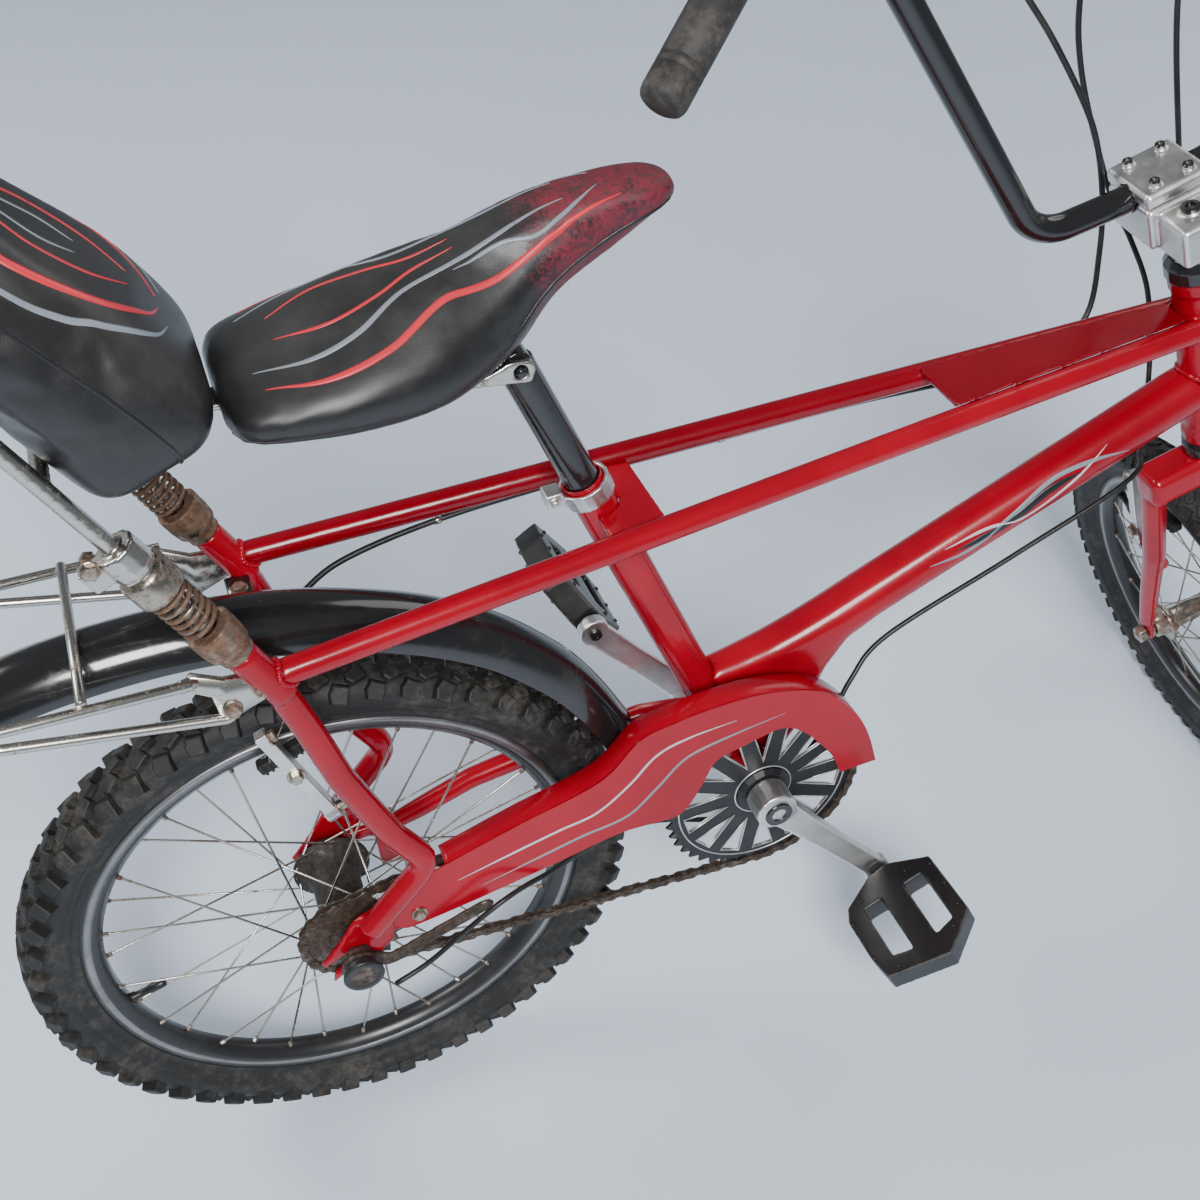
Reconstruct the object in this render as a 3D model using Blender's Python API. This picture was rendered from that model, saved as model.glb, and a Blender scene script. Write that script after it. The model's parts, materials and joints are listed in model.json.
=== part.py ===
"""Chopper bicycle with a sprung seat, in its parked pose.

The bicycle is drawn upright in millimetres: +X forward, +Y left, +Z up, with zero at the middle of the rear
axle. Pieces on the fork are drawn in the steering frame: +X forward of the fork, +Y left and +Z up the
steering axis, from the foot of the rake line. Meshes are turned into metres when they become nodes.
"""

import math

import bmesh
import bpy
from mathutils import Matrix, Vector
from mathutils.geometry import tessellate_polygon

MM = 0.001

# Stance
LEAN = math.radians(8.0)
STEERING_TURN = math.radians(86.5)
GAP = 0.3

# Wheels
REAR_TYRE_RADIUS = 254.0
REAR_TYRE_HALF = 23.0
REAR_TYRE_DEPTH = 44.5
REAR_RIM_RADIUS = REAR_TYRE_RADIUS - REAR_TYRE_DEPTH
REAR_RIM_DEPTH = 19.5
FRONT_TYRE_RADIUS = 200.0
FRONT_TYRE_HALF = 24.5
FRONT_TYRE_DEPTH = 41.0
FRONT_RIM_RADIUS = FRONT_TYRE_RADIUS - FRONT_TYRE_DEPTH
FRONT_RIM_DEPTH = 16.0
RIM_HALF = 12.0
RIM_LIP = 1.7
WHEEL_FACETS = 27
SPOKE_RADIUS = 1.0
REAR_SPOKES = 36
FRONT_SPOKES = 28
AXLE_RADIUS = 5.0

# Steering
HEAD_ANGLE = math.radians(73.12)
STEERING_FOOT = Vector((881.5, 0.0, 0.0))
FORK_RAKE = 52.0
FORK_LENGTH = -65.0
STEERER_RADIUS = 14.3
HEAD_TUBE_RADIUS = 20.0
HEAD_TUBE_ENDS = (228.0, 404.0)
HEADSET_ENDS = (212.5, 424.5)
BLADE_SPAN = 53.0
BAR_RADIUS = 11.1
BAR_CLAMP = Vector((41.0, 0.0, 465.0))
BAR_KNEE = Vector((41.0, 36.0, 465.0))
BAR_FOOT = Vector((41.0, 107.0, 471.0))
STEM_TOP = BAR_CLAMP.z - 6.0
BAR_TOP = Vector((30.0, 205.0, 836.0))
BAR_END = Vector((-70.0, 363.2, 775.8))
GRIP_RADIUS = 15.2
GRIP_LENGTH = 119.0
SHIFTER_LENGTH = 40.0
LEVER_SIDE = Vector((0.732, 0.195, -0.653))
LEVER_OFFSET = 30.0
LEVER_DISTANCE = 132.0

# Steering frame turned to the left, as the bicycle stands
STEERING_FRAME = (Matrix.Translation(STEERING_FOOT) @ Matrix.Rotation(HEAD_ANGLE - math.pi / 2, 4, "Y")
                  @ Matrix.Rotation(STEERING_TURN, 4, "Z"))

# Frame
BRACKET_AXIS = Vector((369.5, 0.0, 8.0))
BRACKET_RADIUS = 20.0
BRACKET_HALF = 34.0
SEAT_TUBE_SLOPE = -0.354
SEAT_TUBE_RADIUS = 15.9
SEAT_TUBE_TOP = 354.0
SEAT_POST_RADIUS = 13.6
TOP_TUBE_RADIUS = 10.0
TOP_TUBE_REAR = Vector((0.0, 70.0, 317.0))
TOP_TUBE_FRONT = Vector((772.0, 18.0, 342.0))
STAY_RADIUS = 11.0
STUB_RADIUS = 12.0
STAY_Y = 67.0
DROPOUT_INNER = 57.0
DROPOUT_OUTER = 63.0

# Stand
STAND_PIVOT = Vector((56.0, 76.0, -14.0))
STAND_AXIS = Vector((0.0, 0.955, 0.297))

# Drive
CHAIN_LINE = -44.0
CHAIN_PITCH = 12.7
PIN_CLEARANCE = 38.0
PLATE_INSIDE = 1.9
PLATE_OUTSIDE = 3.3
RING_TEETH = 44
SPROCKET_TEETH = 20
RING_SPOKES = 14
CRANK_LENGTH = 170.0
CRANK_ANGLE = math.radians(-52.0)
RIGHT_PEDAL_TILT = math.radians(23.0)
LEFT_PEDAL_TILT = math.radians(-60.0)
SPINDLE_RADIUS = 8.0

# Seat springs, leaning back along one line on each side
SPRING_Y = 70.0
SPRING_LEAN = math.radians(25.5)
SPRING_LEVEL = Vector((-32.0, 0.0, 377.0))
CUP_ENDS = (345.0, 373.0)
COIL_TOP = 411.0
COLLAR_TOP = 456.0
CROSS_LEVEL = 503.0
SPRING_COIL_RADIUS = 12.7
SPRING_WIRE_RADIUS = 1.7
SPRING_CURLS = 6
SPRING_POINTS = 8
CUP_RADIUS = 17.0
ROD_RADIUS = 6.3
ROD_END = 354.0
SEAT_PIVOT = 470.0

RED = ((0.52, 0.008, 0.012), 0.28, 0.0)
DARK_RED = ((0.36, 0.006, 0.01), 0.32, 0.0)
BLACK_PAINT = ((0.012, 0.012, 0.013), 0.25, 0.0)
RUBBER = ((0.022, 0.021, 0.021), 0.85, 0.0)
PLASTIC = ((0.02, 0.02, 0.021), 0.5, 0.0)
VINYL = ((0.016, 0.016, 0.018), 0.38, 0.0)
ALLOY = ((0.62, 0.61, 0.59), 0.38, 1.0)
STEEL = ((0.42, 0.38, 0.34), 0.45, 1.0)
RUSTY = ((0.2, 0.12, 0.08), 0.65, 0.7)
BLACK_RIM = ((0.03, 0.03, 0.032), 0.4, 0.3)


def axis_point(distance):
    """Point on the upright frame's steering line, a distance up from its foot."""
    return STEERING_FOOT + distance * Vector((-math.cos(HEAD_ANGLE), 0, math.sin(HEAD_ANGLE)))


def seat_point(height):
    """Point on the seat tube's centre line at a height."""
    x = BRACKET_AXIS.x + SEAT_TUBE_SLOPE * (height - BRACKET_AXIS.z)
    return Vector((x, 0.0, height))


def spring_point(height, side, back=0.0):
    """Point on a spring's centre line at a height, or moved back square to it."""
    x = SPRING_LEVEL.x - math.tan(SPRING_LEAN) * (height - SPRING_LEVEL.z)
    return Vector((x - back * math.cos(SPRING_LEAN), side * SPRING_Y, height - back * math.sin(SPRING_LEAN)))


def mirrored(points, side):
    """Points given for the left side, put on the side asked for."""
    return [Vector((p[0], side * p[1], p[2])) for p in points]


def finish_shape(bm, matrix=None):
    """Turn a bmesh into a scratch object with its faces out."""
    if matrix is not None:
        bm.transform(matrix)
    bmesh.ops.recalc_face_normals(bm, faces=bm.faces)
    mesh = bpy.data.meshes.new("shape")
    bm.to_mesh(mesh)
    bm.free()
    shape = bpy.data.objects.new("shape", mesh)
    bpy.context.collection.objects.link(shape)
    return shape


def aim(start, end):
    """Matrix that puts local Z on the line from start to end, with its zero at start."""
    turn = (Vector(end) - Vector(start)).to_track_quat("Z", "Y").to_matrix().to_4x4()
    return Matrix.Translation(Vector(start)) @ turn


def across(centre=(0, 0, 0)):
    """Matrix that puts local Z on +Y, for pieces turned about an axle."""
    return Matrix.Translation(Vector(centre)) @ Matrix.Rotation(math.radians(-90), 4, "X")


def lathe(profile, count, matrix=None, ring=False):
    """Body turned about local Z from (radius, height) points; a ring's profile is closed."""
    bm = bmesh.new()
    rows = []
    for radius, height in profile:
        if radius < 1e-6:
            rows.append([bm.verts.new((0, 0, height))] * count)
            continue
        angles = [2 * math.pi * i / count for i in range(count)]
        rows.append([bm.verts.new((radius * math.cos(t), radius * math.sin(t), height)) for t in angles])
    following = rows[1:] + rows[:1] if ring else rows[1:]
    for low, high in zip(rows, following):
        for i in range(count):
            j = (i + 1) % count
            corners = list(dict.fromkeys([low[i], low[j], high[j], high[i]]))
            if len(corners) > 2:
                bm.faces.new(corners)
    return finish_shape(bm, matrix)


def rod(start, end, radius, count=12, end_radius=None):
    """Round bar between two points, tapered when it has an end radius."""
    length = (Vector(end) - Vector(start)).length
    tip = radius if end_radius is None else end_radius
    return lathe([(0, 0), (radius, 0), (tip, length), (0, length)], count, aim(start, end))


def sleeve(start, end, inner, outer, count=16):
    """Open tube between two points."""
    length = (Vector(end) - Vector(start)).length
    profile = [(inner, 0), (outer, 0), (outer, length), (inner, length)]
    return lathe(profile, count, aim(start, end), ring=True)


def loft(rings):
    """Skin over rings of equal count, closed by a face at each end."""
    bm = bmesh.new()
    rows = [[bm.verts.new(p) for p in ring] for ring in rings]
    for low, high in zip(rows, rows[1:]):
        for i in range(len(low)):
            j = (i + 1) % len(low)
            bm.faces.new((low[i], low[j], high[j], high[i]))
    bm.faces.new(rows[0])
    bm.faces.new(rows[-1])
    return finish_shape(bm)


def tube(points, radius, count=12):
    """Round tube along points; the radius is one number or one for each point."""
    path = [Vector(p) for p in points]
    radii = radius if isinstance(radius, (list, tuple)) else [radius] * len(path)
    normal = None
    rings = []
    for i, point in enumerate(path):
        before = (point - path[i - 1]).normalized() if i else None
        after = (path[i + 1] - point).normalized() if i + 1 < len(path) else None
        along = ((before or after) + (after or before)).normalized()
        if normal is None:
            normal = along.orthogonal()
        normal = (normal - normal.dot(along) * along).normalized()
        other = along.cross(normal)
        turns = [2 * math.pi * k / count for k in range(count)]
        rings.append([point + radii[i] * (math.cos(t) * normal + math.sin(t) * other) for t in turns])
    return loft(rings)


def bend_path(corners, radius, steps=5):
    """Corner points joined by straight runs, with every inner corner rounded to a radius."""
    corners = [Vector(c) for c in corners]
    path = [corners[0]]
    for before, corner, after in zip(corners, corners[1:], corners[2:]):
        back = (before - corner).normalized()
        ahead = (after - corner).normalized()
        half = back.angle(ahead) / 2
        reach = radius / math.tan(half)
        centre = corner + (back + ahead).normalized() * radius / math.sin(half)
        first = corner + back * reach - centre
        last = corner + ahead * reach - centre
        sweep = first.angle(last)
        for i in range(steps + 1):
            share = i / steps
            spoke = first * math.sin((1 - share) * sweep) + last * math.sin(share * sweep)
            path.append(centre + spoke / math.sin(sweep))
    return path + [corners[-1]]


def smooth_path(points, step):
    """Smooth curve through points, read at about one step."""
    points = [Vector(p) for p in points]
    padded = [2 * points[0] - points[1]] + points + [2 * points[-1] - points[-2]]
    path = []
    for a, b, c, d in zip(padded, padded[1:], padded[2:], padded[3:]):
        count = max(1, round((c - b).length / step))
        for i in range(count):
            t = i / count
            path.append(0.5 * (2 * b + (c - a) * t + (2 * a - 5 * b + 4 * c - d) * t**2
                               + (3 * b - a - 3 * c + d) * t**3))
    return path + [points[-1]]


def plate(loops, low, high, matrix=None):
    """Flat plate between two heights; the first loop is its edge and the others are holes."""
    bm = bmesh.new()
    triangles = tessellate_polygon([[Vector((p[0], p[1], 0)) for p in loop] for loop in loops])
    flat = [p for loop in loops for p in loop]
    rows = [[bm.verts.new((p[0], p[1], height)) for p in flat] for height in (low, high)]
    for row in rows:
        for triangle in triangles:
            bm.faces.new([row[i] for i in triangle])
    start = 0
    for loop in loops:
        for i in range(len(loop)):
            a = start + i
            b = start + (i + 1) % len(loop)
            bm.faces.new((rows[0][a], rows[0][b], rows[1][b], rows[1][a]))
        start += len(loop)
    return finish_shape(bm, matrix)


SIDE_VIEW = Matrix(((1, 0, 0, 0), (0, 0, 1, 0), (0, 1, 0, 0), (0, 0, 0, 1)))


def side_plate(loops, y_low, y_high, matrix=None):
    """Plate whose loops are drawn in side view, as (x, z), between two values of y."""
    return plate(loops, y_low, y_high, SIDE_VIEW if matrix is None else matrix @ SIDE_VIEW)


def box(low, high, matrix=None, bevel=0.0):
    """Block between two corners, its edges rounded by one cut."""
    bm = bmesh.new()
    bmesh.ops.create_cube(bm, size=1.0)
    low = Vector(low)
    high = Vector(high)
    size = high - low
    bm.transform(Matrix.Translation((low + high) / 2) @ Matrix.Diagonal((size.x, size.y, size.z, 1)))
    if bevel:
        bmesh.ops.bevel(bm, geom=bm.edges[:], offset=bevel, segments=1, affect="EDGES")
    return finish_shape(bm, matrix)


def bore(radius, count, gap=GAP):
    """Radius of a faceted hole whose flats clear a round piece by a gap."""
    return (radius + gap) / math.cos(math.pi / count)


def circle(x, y, radius, count):
    """Points round a circle."""
    turns = [2 * math.pi * i / count for i in range(count)]
    return [(x + radius * math.cos(t), y + radius * math.sin(t)) for t in turns]


def combine(target, others, operation):
    """Join, or cut away, one scratch shape after another."""
    for other in others:
        modifier = target.modifiers.new("combine", "BOOLEAN")
        modifier.operation = operation
        modifier.solver = "EXACT"
        modifier.object = other
        graph = bpy.context.evaluated_depsgraph_get()
        mesh = bpy.data.meshes.new_from_object(target.evaluated_get(graph))
        target.modifiers.clear()
        target.data = mesh
        bpy.data.objects.remove(other, do_unlink=True)
    return target


def fuse(target, *others):
    """Join shapes into one body."""
    return combine(target, others, "UNION")


def cut(target, *others):
    """Take shapes away from a body."""
    return combine(target, others, "DIFFERENCE")


def tidy(shape):
    """Weld points that a cut left almost on top of each other."""
    bm = bmesh.new()
    bm.from_mesh(shape.data)
    bmesh.ops.remove_doubles(bm, verts=bm.verts, dist=0.02)
    bmesh.ops.dissolve_degenerate(bm, dist=0.02, edges=bm.edges)
    bmesh.ops.dissolve_limit(bm, angle_limit=math.radians(0.2), verts=bm.verts, edges=bm.edges)
    bm.to_mesh(shape.data)
    bm.free()


def node(name, shape, finish, parent, origin=(0, 0, 0)):
    """Name a finished shape, move its origin, give it its material and hang it on its parent."""
    tidy(shape)
    origin = Vector(origin)
    shape.data.transform(Matrix.Scale(MM, 4) @ Matrix.Translation(-origin))
    shape.data.shade_smooth()
    shape.data.set_sharp_from_angle(angle=math.radians(35))
    shape.name = name
    shape.data.name = name
    shape.location = origin * MM
    shape.parent = parent
    colour, roughness, metallic = finish
    material = bpy.data.materials.new(name + "_finish")
    material.use_nodes = True
    shader = material.node_tree.nodes["Principled BSDF"]
    shader.inputs["Base Color"].default_value = (*colour, 1.0)
    shader.inputs["Roughness"].default_value = roughness
    shader.inputs["Metallic"].default_value = metallic
    shape.data.materials.clear()
    shape.data.materials.append(material)
    return shape


def empty(name, parent=None, matrix=None):
    """Parent frame, in metres."""
    holder = bpy.data.objects.new(name, None)
    bpy.context.collection.objects.link(holder)
    holder.parent = parent
    if matrix is not None:
        holder.matrix_local = matrix
    return holder


def wire(path, radius, resolution):
    """Round wire along a path, with closed ends."""
    curve = bpy.data.curves.new("wire", "CURVE")
    curve.dimensions = "3D"
    curve.bevel_depth = radius
    curve.bevel_resolution = resolution
    curve.use_fill_caps = True
    spline = curve.splines.new("POLY")
    spline.points.add(len(path) - 1)
    for item, point in zip(spline.points, path):
        item.co = (*point, 1.0)
    guide = bpy.data.objects.new("wire", curve)
    bpy.context.collection.objects.link(guide)
    graph = bpy.context.evaluated_depsgraph_get()
    mesh = bpy.data.meshes.new_from_object(guide.evaluated_get(graph))
    bpy.data.objects.remove(guide, do_unlink=True)
    shape = bpy.data.objects.new("shape", mesh)
    bpy.context.collection.objects.link(shape)
    return shape


def cord(points, radius, step):
    """Cable along a smooth curve through points."""
    path = smooth_path(points, step)
    length = sum((b - a).length for a, b in zip(path, path[1:]))
    print(f"cable of {len(path)} points, {length:.0f} mm long")
    return wire(path, radius, 2)


def least_gap(path, radius, apart):
    """Least clear distance between points of a wire that lie at least so many points apart."""
    gaps = [(a - b).length - 2 * radius for i, a in enumerate(path) for b in path[i + apart:]]
    return min(gaps)


def tyre_profile(outer, half, rim):
    """Tyre section as (radius, y), from the rim's well round the tread and back."""
    height = outer - rim
    side = [(rim - 6.2, 9.9), (rim + 0.5, 9.9)]
    for rise, width in ((0.2, 0.85), (0.5, 1.0), (0.8, 0.82), (1.0, 0.36)):
        side.append((rim + rise * height, width * half))
    return [(r, -y) for r, y in side] + [(r, y) for r, y in reversed(side)]


def rim_profile(outer, depth):
    """Rim section as (radius, y): deep V underneath, a well between two lips on top."""
    inner = outer - depth
    side = [(inner, 4.5), (inner + 8, RIM_HALF), (outer, RIM_HALF),
            (outer, RIM_HALF - RIM_LIP), (outer - 6.5, RIM_HALF - RIM_LIP)]
    return [(r, -y) for r, y in side] + [(r, y) for r, y in reversed(side)]


def spokes(count, hub_radius, flange_y, rim_radius, lean, first):
    """Spokes of one wheel, crossing without touching: alternate ones lean each way."""
    shapes = []
    end = rim_radius * math.cos(math.pi / WHEEL_FACETS) - 0.4
    for i in range(count):
        side = 1 if i % 2 else -1
        trailing = 1 if (i // 2) % 2 else -1
        rim_angle = first + 2 * math.pi * i / count
        hub_angle = rim_angle + trailing * lean
        shift = 1.7 * trailing
        foot = (hub_radius * math.cos(hub_angle), side * (flange_y + shift), hub_radius * math.sin(hub_angle))
        tip = (end * math.cos(rim_angle), side * (1.8 + 0.9 * shift), end * math.sin(rim_angle))
        shapes.append(rod(foot, tip, SPOKE_RADIUS, 3))
    bm = bmesh.new()
    for shape in shapes:
        bm.from_mesh(shape.data)
        bpy.data.objects.remove(shape, do_unlink=True)
    return finish_shape(bm)


def gear_outline(teeth, phase=0.0):
    """Toothed edge as (x, z) points, with its pitch radius set by the chain pitch."""
    pitch_radius = CHAIN_PITCH / (2 * math.sin(math.pi / teeth))
    points = []
    for i in range(teeth):
        for share, rise in ((-0.25, -3.6), (0.1, 3.0)):
            turn = 2 * math.pi * (i + share) / teeth + phase
            points.append(((pitch_radius + rise) * math.cos(turn), (pitch_radius + rise) * math.sin(turn)))
    return points


def rear_wheel(parent):
    """Hub with its spokes, rim and tyre, each turning on the rear axle."""
    flange = 32.5
    hub = lathe([(6.2, -40), (17, -40), (17, -35.5), (33, -35.5), (33, -29.5), (28, -24), (28, 24), (33, 29.5),
                 (33, 35.5), (22, 35.5), (20, 49), (6.2, 49)], 12, across(), ring=True)
    lacing = spokes(REAR_SPOKES, 30.0, flange, REAR_RIM_RADIUS - REAR_RIM_DEPTH, math.radians(62),
                    math.radians(181))
    node("rear_hub", fuse(hub, lacing), STEEL, parent)
    node("rear_rim", lathe(rim_profile(REAR_RIM_RADIUS, REAR_RIM_DEPTH), WHEEL_FACETS, across(), ring=True),
         BLACK_RIM, parent)
    node("rear_tyre", lathe(tyre_profile(REAR_TYRE_RADIUS, REAR_TYRE_HALF, REAR_RIM_RADIUS), WHEEL_FACETS,
                            across(), ring=True), RUBBER, parent)
    teeth = side_plate([gear_outline(SPROCKET_TEETH), circle(0, 0, 12, 12)], CHAIN_LINE - 1.1, CHAIN_LINE + 1.1)
    collar = lathe([(6.2, -47.5), (19, -47.5), (19, -40.6), (6.2, -40.6)], 16, across(), ring=True)
    node("sprocket", fuse(collar, teeth), STEEL, parent)


def rear_axle(parent):
    """Axle with its locknuts, end nuts, the cover on the chain side and the strut under the guard."""
    body = rod((0, -82, 0), (0, 76, 0), AXLE_RADIUS, 8)
    inner_right = rod((0, -56.7, 0), (0, -47.9, 0), 9.5, 8)
    inner_left = rod((0, 49.4, 0), (0, 56.7, 0), 9.5, 8)
    nut_left = rod((0, 63.3, 0), (0, 74, 0), 10.5, 6)
    strut = side_plate([[(-9, -7), (0, -14), (22, -25), (30, -24), (112, 1.5), (117, 7), (113, 12.5),
                         (105, 12), (26, -12.5), (12, -2), (9, 8), (-5, 10)]], -66.5, -63.3)
    nut_right = rod((0, -76, 0), (0, -66.2, 0), 12, 6)
    cover = rod((0, -88, 0), (0, -75.5, 0), 13.5, 12, 16.5)
    node("rear_axle", fuse(body, inner_right, inner_left, nut_left, strut, nut_right, cover), PLASTIC, parent)


def stay_path(side):
    """Centre line of a rear stay, from the spring stub down round the bend to the dropout."""
    y = STAY_Y
    path = [Vector((spring_point(312, 1).x, y + 1, 312)), Vector((12, y, 261)), Vector((25, y, 202)),
            Vector((43, y, 148))]
    path += bend_path([Vector((51, y, 126)), Vector((73, y, 86)), Vector((14, y - 1, 26))], 20, 3)
    return mirrored(path, side)


def stay(side, parent):
    """Curved rear stay with its spring stub, dropout and brake boss."""
    tube_shape = tube(stay_path(side), STAY_RADIUS, 10)
    stub_shape = rod(spring_point(300, side), spring_point(CUP_ENDS[0] - GAP, side), STUB_RADIUS, 12)
    slot = (-28 * 0.88, -28 * 0.47)
    edge = [(-31, -5), (-14, 13), (4, 36), (20, 42), (33, 36), (35, 14), (30, -2), (16, -12),
            (0, -18), (-14, -23), (-25, -30), (2.7 + slot[0], -5.1 + slot[1]), (2.7, -5.1), (5.6, -2), (5.6, 2),
            (2, 5.5), (-2.7, 5.1), (-2.7 + slot[0], 5.1 + slot[1])]
    low, high = sorted((side * DROPOUT_INNER, side * DROPOUT_OUTER))
    dropout = side_plate([edge], low, high)
    pivot = Vector((13, side * 42, 147))
    fore = Vector((0.94, 0, 0.33))
    arm = tube([Vector((43, side * 62, 150)), pivot + 22 * fore, pivot + 20 * fore + Vector((0, -side * 4, 0))],
               7.5, 8)
    stud = rod(pivot + 24 * fore, pivot - 9 * fore, 4.0, 8)
    shape = fuse(tube_shape, stub_shape, dropout, arm, stud)
    name = "stay_left" if side > 0 else "stay_right"
    node(name, shape, RED, parent)


def stay_cutters(side, gap, with_stub=True, with_dropout=True):
    """Shapes that clear the stay on one side."""
    shapes = [tube(stay_path(side), bore(STAY_RADIUS, 10, gap), 10)]
    if with_stub:
        shapes.append(rod(spring_point(300, side), spring_point(CUP_ENDS[0], side), STUB_RADIUS + gap, 12))
    if with_dropout:
        low, high = sorted((side * (DROPOUT_INNER - gap), side * (DROPOUT_OUTER + gap)))
        edge = [(-40, -40), (-40, 30), (0, 50), (24, 47), (35.5, 39), (37.5, 14), (32, -6), (16, -20), (0, -40)]
        shapes.append(side_plate([edge], low, high))
    return shapes


def frame(parent):
    """Main tubes, each cut back to the pieces that it meets."""
    head_low, head_high = HEAD_TUBE_ENDS
    head = lathe([(16, head_low), (22, head_low), (22, head_low + 12), (HEAD_TUBE_RADIUS, head_low + 15),
                  (HEAD_TUBE_RADIUS, head_high - 15), (22, head_high - 12), (22, head_high), (16, head_high)],
                 16, aim(STEERING_FOOT, axis_point(1)), ring=True)
    node("head_tube", head, RED, parent)

    def head_cutter():
        return lathe([(0, 200), (22 + GAP, 200), (22 + GAP, head_low + 12 + GAP),
                      (HEAD_TUBE_RADIUS + GAP, head_low + 15 + GAP),
                      (HEAD_TUBE_RADIUS + GAP, head_high - 15 - GAP), (22 + GAP, head_high - 12 - GAP),
                      (22 + GAP, head_high + 16), (0, head_high + 16)], 16, aim(STEERING_FOOT, axis_point(1)))

    def seat_cutter(low=-40, high=420):
        return rod(seat_point(low), seat_point(high), SEAT_TUBE_RADIUS + GAP, 16)

    def shell_cutter():
        reach = BRACKET_HALF + 8
        return rod(BRACKET_AXIS - Vector((0, reach, 0)), BRACKET_AXIS + Vector((0, reach, 0)),
                   BRACKET_RADIUS + GAP, 18)

    half = Vector((0, BRACKET_HALF, 0))
    shell = sleeve(BRACKET_AXIS - half, BRACKET_AXIS + half, bore(SPINDLE_RADIUS, 18), BRACKET_RADIUS, 18)
    node("bottom_bracket_shell", shell, RED, parent)

    seat_tube = rod(seat_point(BRACKET_AXIS.z), seat_point(SEAT_TUBE_TOP), SEAT_TUBE_RADIUS, 16)
    well = rod(seat_point(236), seat_point(420), bore(SEAT_POST_RADIUS, 16), 16)
    node("seat_tube", cut(seat_tube, well, shell_cutter()), RED, parent)

    slope = Vector((0.929, 0, 0.369))
    normal = Vector((-0.369, 0, 0.929))
    centre = Vector((495, 0, 157.5))
    radius = 21.8
    stations = [(centre + slope * d + normal * radius, centre + slope * d - normal * radius, radius)
                for d in (328, 200, 90, -8)]
    stations += [(Vector((t[0], 0, t[1])), Vector((b[0], 0, b[1])), w) for t, b, w in (
        ((446, 161), (466, 119), 21.8), ((418, 151), (446, 93), 21.5), ((392, 143), (432, 62), 21),
        ((364, 137), (420, 30), 19.5), ((334, 132), (396, -2), 17.5))]
    rings = []
    for top, bottom, width in stations:
        middle = (top + bottom) / 2
        tall = (top - bottom) / 2
        turns = [2 * math.pi * k / 14 for k in range(14)]
        straight = max(0.0, tall.length - width)
        up = tall.normalized()
        ring = []
        for t in turns:
            lift = math.sin(t) * width + math.copysign(straight, math.sin(t)) * (abs(math.sin(t)) > 1e-6)
            ring.append(middle + Vector((0, math.cos(t) * width, 0)) + up * lift)
        rings.append(ring)
    down_tube = loft(rings)
    for x, z in ((502, 117), (621, 157), (742, 205)):
        under = centre + slope * ((x - 495) / 0.929) - normal * (radius - 2)
        clip = box((-6, -24, -9), (6, -6, 4), aim(under, under + normal))
        down_tube = fuse(down_tube, clip)
    node("down_tube", cut(down_tube, head_cutter(), seat_cutter(-40, 250), shell_cutter()), RED, parent)

    for side in (1, -1):
        ends = mirrored([TOP_TUBE_REAR.lerp(TOP_TUBE_FRONT, -0.01), TOP_TUBE_FRONT], side)
        top_tube = cut(rod(ends[0], ends[1], TOP_TUBE_RADIUS, 14), head_cutter(),
                       *stay_cutters(side, GAP, with_dropout=False))
        node("top_tube_left" if side > 0 else "top_tube_right", top_tube, RED, parent)

    def top_tube_cutters():
        shapes = []
        for side in (1, -1):
            beyond = TOP_TUBE_REAR.lerp(TOP_TUBE_FRONT, 1.04)
            ends = mirrored([TOP_TUBE_REAR, beyond], side)
            shapes.append(rod(ends[0], ends[1], bore(TOP_TUBE_RADIUS, 14), 14))
        return shapes

    def between_tubes(x, inset):
        share = (x - TOP_TUBE_REAR.x) / (TOP_TUBE_FRONT.x - TOP_TUBE_REAR.x)
        place = TOP_TUBE_REAR.lerp(TOP_TUBE_FRONT, share)
        return place.y - inset, place.z

    rear_y, rear_z = between_tubes(540, 0)
    front_y, front_z = between_tubes(752, 0)
    gusset = loft([
        [Vector((540, y, rear_z + z)) for y, z in
         ((-rear_y - 2, 4.5), (rear_y + 2, 4.5), (rear_y + 2, 10.5), (-rear_y - 2, 10.5))],
        [Vector((762, y, front_z + z)) for y, z in
         ((-front_y - 2, 4.5), (front_y + 2, 4.5), (front_y + 2, 10.5), (-front_y - 2, 10.5))],
    ])
    node("head_gusset", cut(gusset, *top_tube_cutters(), head_cutter()), DARK_RED, parent)

    back_y, back_z = between_tubes(252, 4)
    bridge = box((252, -back_y, back_z - 2.5), (297, back_y, back_z + 2.5))
    node("seat_bridge", cut(bridge, *top_tube_cutters(), seat_cutter()), RED, parent)

    right = [Vector((50, 48, 8)), Vector((85, 46.5, 18)), Vector((135, 44.5, 34)), Vector((190, 40, 47)),
             Vector((290, 27, 62)), Vector((346, 10, 72))]
    left = [Vector((50, 50, 8)), Vector((85, 50, 18)), Vector((135, 49, 35)), Vector((190, 44, 47)),
            Vector((290, 32, 63)), Vector((346, 10, 72))]
    for side, path in ((1, left), (-1, right)):
        bar = tube(mirrored(path, side), [7, 9, 9.5, 10, 10, 10], 12)
        low, high = sorted((side * 49.5, side * (DROPOUT_INNER - GAP)))
        bar = fuse(bar, box((16, low, 2), (60, high, 14)))
        if side > 0:
            lug = box((42, 41, -31), (66, 50, 14))
            stud = rod(STAND_PIVOT - 34 * STAND_AXIS, STAND_PIVOT + 12.5 * STAND_AXIS, 5.0, 12)
            bar = fuse(bar, lug, stud)
        cutters = [seat_cutter(-40, 250), shell_cutter(), *stay_cutters(side, GAP, with_stub=False)]
        node("chainstay_left" if side > 0 else "chainstay_right", cut(bar, *cutters), RED, parent)


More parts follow.
